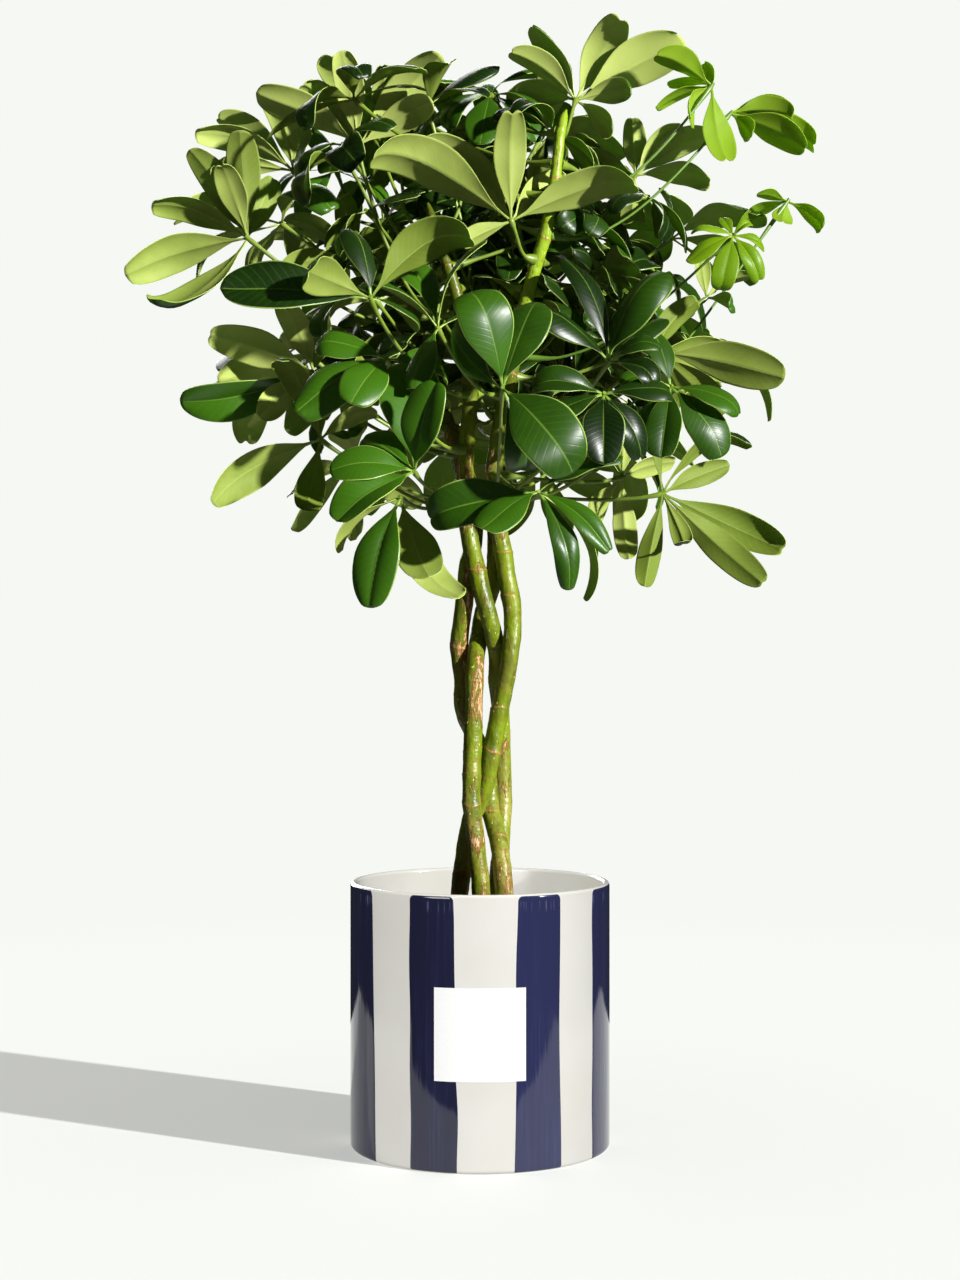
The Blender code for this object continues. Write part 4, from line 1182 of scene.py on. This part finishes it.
clearance = petioleSize["clearance"]
stemTrees = [tubeTree(route, [radius + clearance for radius in radii]) for route, radii in stems.values()]
petioleTrees = []
placedTrees = []
leafChance = random.Random(5)
cadLeaves = growPetioles(plannedLeaves(), petioleTrees)
growLeaflets(cadLeaves, petioleTrees, placedTrees, leafChance)
fillers = growPetioles(innerLeaves(), petioleTrees)
growLeaflets(fillers, petioleTrees, placedTrees, leafChance)
print("places found for", len(cadLeaves), "leaves and", len(fillers), "small inner ones")


# Leaf blades and petioles

leafletLook = {
    "rows": 18, "gather": 1.3, "columns": (-1, -0.9, -0.66, -0.38, -0.1, 0, 0.1, 0.38, 0.66, 0.9, 1),
    "innerRows": 11, "innerColumns": (-1, -0.8, -0.4, 0, 0.4, 0.8, 1),
    "thickness": 0.0005, "stalkThickness": 0.0016, "rib": 0.0007, "groove": 0.00025,
    "ribWidth": 0.09, "grooveWidth": 0.12, "notchWidth": 0.35, "tipRow": 0.966, "tipBulge": 0.034,
    # the small inner leaves get a darker tone: painted shade inside the crown
    "tipFrom": 0.64, "tipSpan": 0.4, "droopFrom": 0.62, "toneSpread": 0.25, "paintedInnerShade": 0.25,
}
# how leaflets differ: a range to draw from, or a list to choose from. Folds, curls and twists are in degrees.
leafletTraits = {
    "fold": (0, 46), "curl": (5, 80), "notch": [0, 0, 0, 0.02, 0.045], "wave": (0.004, 0.02),
    "pitch": (5, 11), "phase": (0, 6.3), "offset": (0, 3), "droop": (-0.2, 1.0), "twist": (-18, 18),
    "widest": (0.55, 0.67), "bluntness": (2.0, 2.6), "tip": [0, 0, 0.3, 0.6, 1.1, 1.7, -0.6],
}
petioleLook = {
    "sides": 10, "cuts": (25,), "steps": 14, "sunk": 0.0016, "cap": 0.0012, "slim": 0.9, "youngSlim": 0.65,
    # widths at the clasp round the stem, and at the hub
    "clasp": [0.0042, 0.0040, 0.0030, 0.0021], "hub": [0.0016, 0.0021, 0.0026, 0.0013],
    "light": rgb(124, 146, 46), "dark": rgb(86, 108, 32),
    "youngLight": rgb(104, 140, 44), "youngDark": rgb(76, 106, 34),
    "grain": (160, 3, 0.55, 0.3), "roughness": 0.4, "relief": (0.3, 0.0003),
}
leafLook = {
    "dark": rgb(8, 25, 2), "fresh": rgb(54, 96, 10), "vein": rgb(122, 156, 58),
    "margin": rgb(160, 186, 92), "gloss": 0.36, "under": rgb(198, 212, 112), "underDark": rgb(122, 142, 48),
    "underVein": rgb(210, 224, 128), "glow": rgb(140, 190, 40), "topShare": 0.19, "underShare": 0.4,
}
youngLook = {
    "dark": rgb(98, 132, 16), "fresh": rgb(138, 172, 22), "vein": rgb(168, 192, 76),
    "margin": rgb(174, 196, 90), "gloss": 0.36, "under": rgb(152, 182, 42), "underDark": rgb(130, 162, 36),
    "underVein": rgb(178, 202, 90), "glow": rgb(168, 208, 38), "topShare": 0.5, "underShare": 0.5,
}


def makeLeafletMaster(name, rows, places):
    # a flat grid with a wall thickness: x runs along the leaflet, y across it. Each point's place on the
    # leaflet is kept, so that every copy can be bent to its own shape.
    look = leafletLook
    places = np.array(places)
    deselectAll()
    bpy.ops.mesh.primitive_grid_add(x_subdivisions=rows, y_subdivisions=len(places) - 1, size=2)
    blade = takePrimitive(name)
    points = pointsOf(blade)
    row = np.rint((points[:, 0] + 1) / 2 * rows)
    column = np.rint((points[:, 1] + 1) / 2 * (len(places) - 1)).astype(int)
    points[:, 0] = 1 - (1 - row / rows) ** look["gather"]
    points[:, 1] = places[column]
    movePoints(blade, points)
    addModifier(blade, "SOLIDIFY", thickness=0.2, offset=0)
    points = pointsOf(blade)
    for _ in range(3):
        blade.data.materials.append(None)
    for face in blade.data.polygons:
        face.material_index = 0 if face.normal.z > 0.5 else 1 if face.normal.z < -0.5 else 2
    corners = np.empty(len(blade.data.loops), dtype=int)
    blade.data.loops.foreach_get("vertex_index", corners)
    leafMap = blade.data.uv_layers[0]
    leafMap.name = "leafMap"
    flat = np.stack([points[corners, 0], (points[corners, 1] + 1) / 2], axis=1)
    leafMap.data.foreach_set("uv", flat.astype(np.float32).ravel())
    blade.data.shade_smooth()
    return blade, np.clip(points[:, 0], 0, 1), np.clip(points[:, 1], -1, 1), np.sign(points[:, 2])


def smoothStep(values, low, high):
    share = np.clip((values - low) / (high - low), 0, 1)
    return share * share * (3 - 2 * share)


def widthsAlong(t, leaflet, traits):
    # half of a leaflet's width at t: narrow at the stalk, widest past the middle and blunt at the tip
    stalk, widest, bluntness = leafletSize["stalk"], traits["widest"], traits["bluntness"]
    swelling = np.clip((t - stalk) / (widest - stalk), 0, 1)
    rounding = np.clip((t - widest) / (1 - widest), 0, 1)
    outline = np.sin(math.pi / 2 * swelling ** 1.1) ** 1.15
    outline = outline * (1 - rounding ** bluntness) ** (1 / bluntness)
    return leafletSize["stalkHalfWidth"] + leaflet["half"] * outline


def archAlong(t, leaflet, traits):
    # how far out and up a leaflet has come at t, and its turn there; its tip curls further than its arch
    look = leafletLook
    steps = np.linspace(0, 1.08, 55)
    tip = np.clip((steps - look["tipFrom"]) / look["tipSpan"], 0, 1) ** 2
    turns = leaflet["bend"] * (steps - 0.5) + traits["tip"] * tip
    halfway = (turns[1:] + turns[:-1]) / 2
    path, fall = [
        np.append(0, np.cumsum(way(halfway))) * leaflet["length"] * steps[1] for way in (np.cos, np.sin)]
    return [np.interp(t, steps, values) for values in (path, -fall, turns)]


def skinDepths(s, v, layer):
    # how far the skins lie from the blade's middle: thick at the stalk, a rib below and a groove above
    look = leafletLook
    stalky = 1 - smoothStep(s, leafletSize["stalk"] * 0.8, leafletSize["stalk"] * 1.8)
    rounded = np.sqrt(np.clip(1 - v ** 2 * 0.92, 0, 1))
    thick = look["thickness"] * (1 - stalky) * (1 - 0.45 * np.abs(v))
    thick = thick + look["stalkThickness"] * stalky * rounded
    rib = look["rib"] * (1 - stalky) * (1 - 0.75 * s) * np.exp(-(v / look["ribWidth"]) ** 2)
    groove = look["groove"] * (1 - stalky) * np.exp(-(v / look["grooveWidth"]) ** 2)
    return layer * thick / 2 - np.where(layer < 0, rib, groove)


def bendLeaflet(blade, s, v, layer, leaflet, traits):
    # s runs from the hub to the tip and v across; the blade folds along its midrib and its margins curl
    look = leafletLook
    length = leaflet["length"]
    hub, along, normal, side = [np.array(leaflet[key]) for key in ("hub", "along", "normal", "side")]
    t = s * look["tipRow"]
    width = widthsAlong(t, leaflet, traits)
    notch = traits["notch"] * s ** 16 * np.exp(-(v / look["notchWidth"]) ** 2)
    t = t + look["tipBulge"] * s ** 9 * (1 - v ** 2) - notch
    spread = smoothStep(s, leafletSize["stalk"], 0.45)
    fold = math.radians(traits["fold"]) * spread * (1 - 0.35 * s)
    curl = -math.radians(traits["curl"]) * spread * (0.5 + 0.5 * s) - 0.02
    phi = fold + curl * np.abs(v)
    across = np.sign(v) * width * (np.sin(phi) - np.sin(fold)) / curl
    lift = width * (np.cos(fold) - np.cos(phi)) / curl
    ripple = np.sin(s * traits["pitch"] + traits["phase"] + np.sign(v) * traits["offset"])
    lift = lift + length * traits["wave"] * ripple * np.abs(v) ** 1.6 * spread
    reach, rise, turn = archAlong(t, leaflet, traits)
    droop = traits["droop"] * length * np.clip(s - look["droopFrom"], 0, 1) ** 2
    up = np.outer(np.cos(turn), normal) + np.outer(np.sin(turn), along)
    twist = math.radians(traits["twist"]) * s
    sideHere = np.outer(np.cos(twist), side) + up * np.sin(twist)[:, None]
    upHere = up * np.cos(twist)[:, None] - np.outer(np.sin(twist), side)
    skin = upHere * np.cos(phi)[:, None] - sideHere * (np.sign(v) * np.sin(phi))[:, None]
    middle = hub + np.outer(reach, along) + np.outer(rise - droop, normal)
    depth = skinDepths(s, v, layer)
    movePoints(blade, middle + sideHere * across[:, None] + upHere * lift[:, None] + skin * depth[:, None])


def leafPlaces(tree):
    # along the leaflet from 0 to 1, and across it from -1 to 1
    u, v, _ = axesOf(tree, addNode(tree, "ShaderNodeUVMap", uv_map="leafMap").outputs[0])
    return u, calc(tree, "SUBTRACT", times(tree, v, 2.0), 1.0)


def leafVeins(tree, u, away):
    # the midrib, and side veins that run from it towards the tip
    line = between(tree, away, 0.045, 0.015)
    slant = calc(tree, "SUBTRACT", times(tree, u, 15.0), times(tree, away, 2.4))
    beat = calc(tree, "ABSOLUTE", calc(tree, "SUBTRACT", calc(tree, "FRACT", slant), 0.5))
    side = times(tree, between(tree, beat, 0.1, 0.03), between(tree, away, 1.0, 0.75))
    return line, times(tree, side, between(tree, u, 0.16, 0.28))


def letThrough(material, shader, colour, share):
    # part of the light comes through the blade
    tree = material.node_tree
    glow = addNode(tree, "ShaderNodeBsdfTranslucent", {"Color": colour})
    showSkin(material, blendSkins(tree, share, shader.outputs[0], glow.outputs[0]))
    return material


def makeBladeTop(name, look):
    material, tree, shader = newMaterial(name)
    u, v = leafPlaces(tree)
    away = calc(tree, "ABSOLUTE", v)
    line, side = leafVeins(tree, u, away)
    tone = plus(tree, times(tree, valueOf(tree, "tone"), 0.75), times(tree, noise(tree, 34), 0.4))
    colour = layered(
        tree, look["dark"],
        (between(tree, tone, 0.15, 0.95), look["fresh"]),
        (times(tree, side, 0.07), look["vein"]),
        (times(tree, line, 0.45), look["vein"]),
        (times(tree, between(tree, away, 0.94, 0.98), 0.8), look["margin"]),
        (between(tree, u, 0.15, 0.1), look["vein"]))
    gloss = plus(tree, look["gloss"] - 0.06, times(tree, noise(tree, 120), 0.14))
    feed(tree, shader, {"Base Color": colour, "Roughness": gloss, "Specular IOR Level": 0.42})
    height = calc(tree, "SUBTRACT", times(tree, noise(tree, 200, 2), 0.12), side)
    bump(tree, shader, height, 0.15, 0.0003)
    return letThrough(material, shader, look["glow"], look["topShare"])


def makeBladeUnder(name, look):
    material, tree, shader = newMaterial(name)
    u, v = leafPlaces(tree)
    line, side = leafVeins(tree, u, calc(tree, "ABSOLUTE", v))
    tone = plus(tree, times(tree, valueOf(tree, "tone"), 0.6), times(tree, noise(tree, 30), 0.45))
    colour = layered(
        tree, look["underDark"],
        (between(tree, tone, 0.2, 0.9), look["under"]),
        (times(tree, side, 0.07), look["underVein"]),
        (times(tree, line, 0.25), look["underVein"]))
    feed(tree, shader, {"Base Color": colour, "Roughness": 0.6, "Specular IOR Level": 0.25})
    bump(tree, shader, plus(tree, side, times(tree, noise(tree, 240, 2), 0.12)), 0.15, 0.0003)
    return letThrough(material, shader, look["glow"], look["underShare"])


def layPetiole(master, name, way, slimness):
    # swollen where it clasps the stem, slim along its way, widened into the hub and rounded off
    foot, outward = way[:2]
    look = petioleLook
    route = petioleCurve(*way, look["steps"])
    arrive = (route[-1] - route[-2]).normalized()
    route = [foot - outward * look["sunk"]] + route + [route[-1] + arrive * look["cap"]]
    slim = [petioleSize["radius"] * slimness] * (len(route) - len(look["clasp"]) - len(look["hub"]))
    tube = copyOf(master, name)
    layTube(tube, route, look["clasp"] + slim + look["hub"])
    return tube


def makeLeaf(leaf, masters, chance):
    name = leaf["name"]
    young = name.startswith("leaf_young")
    *bladeSkins, petioleSkin = youngSkins if young else oldSkins
    small = leaf.get("fill", False)
    blade, s, v, layer = masters["inner" if small else "outer"]
    petiole = layPetiole(
        masters["petiole"], f"{name}_petiole", leaf["way"], petioleLook["youngSlim" if young else "slim"])
    dress(petiole, petioleSkin)
    setValues(petiole, "tone", 0.5)
    parts = [petiole]
    look = leafletLook
    # painted shade: small inner leaves are darker, as the crown's inside is in shade
    leafTone = chance.uniform(0.0, 1.0) * (look["paintedInnerShade"] if small else 1.0)
    for leaflet in leaf["leaflets"]:
        twin = copyOf(blade, f"{name}_{len(parts)}")
        traits = {
            trait: chance.choice(drawn) if isinstance(drawn, list) else chance.uniform(*drawn)
            for trait, drawn in leafletTraits.items()}
        bendLeaflet(twin, s, v, layer, leaflet, traits)
        tone = leafTone + chance.uniform(-look["toneSpread"], look["toneSpread"])
        setValues(twin, "tone", min(1, max(0, tone)))
        dress(twin, *bladeSkins)
        parts.append(twin)
    if small:
        part(join(name, parts), "leaf")
    else:
        part(join(name.replace("leaf_", "foliage_", 1), parts), "young_leaf" if young else "leaf", name)


def makeSkins(name, look, petioleName, light, dark):
    # a leaf's four skins: the blade's two sides, its margin and its petiole
    return (
        makeBladeTop(f"{name}Top", look), makeBladeUnder(f"{name}Underside", look),
        grainyMaterial(f"{name}Margin", petioleLook, look["margin"], look["under"]),
        grainyMaterial(petioleName, petioleLook, petioleLook[light], petioleLook[dark]))


oldSkins = makeSkins("leaf", leafLook, "petioleSkin", "light", "dark")
youngSkins = makeSkins("youngLeaf", youngLook, "youngPetioleSkin", "youngLight", "youngDark")
masters = {
    "outer": makeLeafletMaster("leafletMaster", leafletLook["rows"], leafletLook["columns"]),
    "inner": makeLeafletMaster("innerMaster", leafletLook["innerRows"], leafletLook["innerColumns"]),
    "petiole": makeTubeMaster("petioleMaster", petioleLook["sides"], petioleLook["cuts"]),
}
shapeChance = random.Random(17)
for leaf in cadLeaves + fillers:
    makeLeaf(leaf, masters, shapeChance)
for master in (masters["outer"][0], masters["inner"][0], masters["petiole"]):
    bpy.data.objects.remove(master, do_unlink=True)
print("leaves made")


# Floor, light and camera

studioLook = {
    "backdrop": rgb(246, 248, 243), "floor": (0.93, 0.94, 0.91, 1.0), "floorSize": 12,
    "fadeFrom": 0.9, "fadeTo": 1.5, "bounce": 0.3, "sky": (0.98, 1.0, 0.88, 1.0), "skyLight": 0.044,
    "roomInGloss": 0.04, "room": (0.02, 0.02, 0.02, 1.0),
    "tableFront": -0.287, "tableSlant": 0.055, "tableSide": 0.63, "tableBack": 0.5,
}
# lamps: way that each shines from (degrees round from +X to the front, degrees up), strength, width in
# degrees, whether it casts shadows and what it lights
lampLook = {
    "keyOnPlant": (42, 15, 2.7, 2.0, True, "plant"),
    "backOnPlant": (262, 24, 0.85, 40, True, "plant"),
    "keyOnPot": (30, 16, 0.76, 1.0, True, "pot"),
    "fillOnPot": (125, 12, 0.6, 30, False, "pot"),
    "rimOnPot": (70, 76, 0.55, 40, False, "pot"),
    "backOnPot": (250, 14, 0.5, 30, False, "pot"),
    "keyOnFloor": (30, 16, 1.52, 1.0, True, "floor"),
    "floorLight": (90, 89, 0.555, 60, False, "floor"),
}
cameraLook = {"distance": 1.6055, "height": 0.371, "lens": 61.3, "film": 36}


def makeFloor():
    look = studioLook
    deselectAll()
    bpy.ops.mesh.primitive_plane_add(size=look["floorSize"])
    floor = takePrimitive("floor")
    material, tree, shader = newMaterial("paleFloor")
    place = objectPlace(tree)
    x, y, _ = axesOf(tree, place)
    ray = addNode(tree, "ShaderNodeLightPath").outputs
    # it lights the plant less than it shows
    dim = tuple(value * look["bounce"] for value in look["floor"][:3]) + (1.0,)
    colour = blendColours(tree, ray["Is Diffuse Ray"], look["floor"], dim)
    feed(tree, shader, {"Base Color": colour, "Roughness": 1.0, "Specular IOR Level": 0.0})
    # far away the floor fades into the backdrop
    far = addNode(tree, "ShaderNodeVectorMath", {0: place}, operation="LENGTH").outputs["Value"]
    faded = times(tree, between(tree, far, look["fadeFrom"], look["fadeTo"]), ray["Is Camera Ray"])
    backdrop = addNode(tree, "ShaderNodeEmission", {"Color": look["backdrop"]})
    near = blendSkins(tree, faded, shader.outputs[0], backdrop.outputs[0])
    # in the glaze only a table's width of it shows
    beyond = calc(tree, "GREATER_THAN", calc(tree, "ABSOLUTE", x), look["tableSide"])
    slanted = plus(tree, y, times(tree, x, look["tableSlant"]))
    before = calc(tree, "LESS_THAN", slanted, look["tableFront"])
    behind = calc(tree, "GREATER_THAN", y, look["tableBack"])
    outside = calc(tree, "MAXIMUM", calc(tree, "MAXIMUM", beyond, before), behind)
    room = addNode(tree, "ShaderNodeEmission", {"Color": look["room"]})
    dark = times(tree, outside, ray["Is Glossy Ray"])
    showSkin(material, blendSkins(tree, dark, near, room.outputs[0]))
    dress(floor, material)
    floor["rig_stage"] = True
    return floor


def makeWorld():
    look = studioLook
    world = bpy.data.worlds.new("studio")
    bpy.context.scene.world = world
    world.use_nodes = True
    tree = world.node_tree
    ray = addNode(tree, "ShaderNodeLightPath").outputs
    kinds = [(look["sky"], look["skyLight"]), ((1, 1, 1, 1), look["roomInGloss"]), (look["backdrop"], 1.0)]
    sky, room, paper = [
        addNode(tree, "ShaderNodeBackground", {"Color": colour, "Strength": strength}).outputs[0]
        for colour, strength in kinds]
    glossy = blendSkins(tree, ray["Is Glossy Ray"], sky, room)
    seen = blendSkins(tree, ray["Is Camera Ray"], glossy, paper)
    tree.links.new(seen, tree.nodes["World Output"].inputs["Surface"])


def makeLamps(lit):
    for name, (side, height, strength, width, shadows, what) in lampLook.items():
        side, height = math.radians(side), math.radians(height)
        across = math.cos(height)
        way = Vector((math.cos(side) * across, -math.sin(side) * across, math.sin(height)))
        deselectAll()
        bpy.ops.object.light_add(type="SUN", location=way * 2)
        lamp = bpy.context.object
        lamp.name = name
        lamp.data.energy = strength * math.pi
        lamp.data.angle = math.radians(width)
        lamp.data.use_shadow = shadows
        lamp.rotation_mode = "QUATERNION"
        lamp.rotation_quaternion = way.to_track_quat("Z", "Y")
        group = bpy.data.collections.new(f"litBy_{name}")
        for piece in lit[what]:
            group.objects.link(piece)
        lamp.light_linking.receiver_collection = group
        if what == "pot":  # nothing of the plant shades the glaze, and the pot throws no glow on the floor
            lamp.light_linking.blocker_collection = group
            if name != "fillOnPot":
                lamp.data.cycles.max_bounces = 0


def makeCamera():
    look = cameraLook
    deselectAll()
    bpy.ops.object.camera_add(location=(0, -look["distance"], look["height"]), rotation=(math.pi / 2, 0, 0))
    camera = bpy.context.object
    camera.data.lens = look["lens"]
    camera.data.sensor_width = look["film"]
    bpy.context.scene.camera = camera


floor = makeFloor()
makeWorld()
glazed = [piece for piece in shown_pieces() if piece.get("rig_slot") in ("glaze", "paper")]
growing = [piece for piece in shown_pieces() if piece not in glazed]
makeLamps({"pot": glazed, "plant": growing, "floor": [floor]})
makeCamera()
bpy.context.scene.view_settings.view_transform = "Standard"
print("floor, light and camera made")
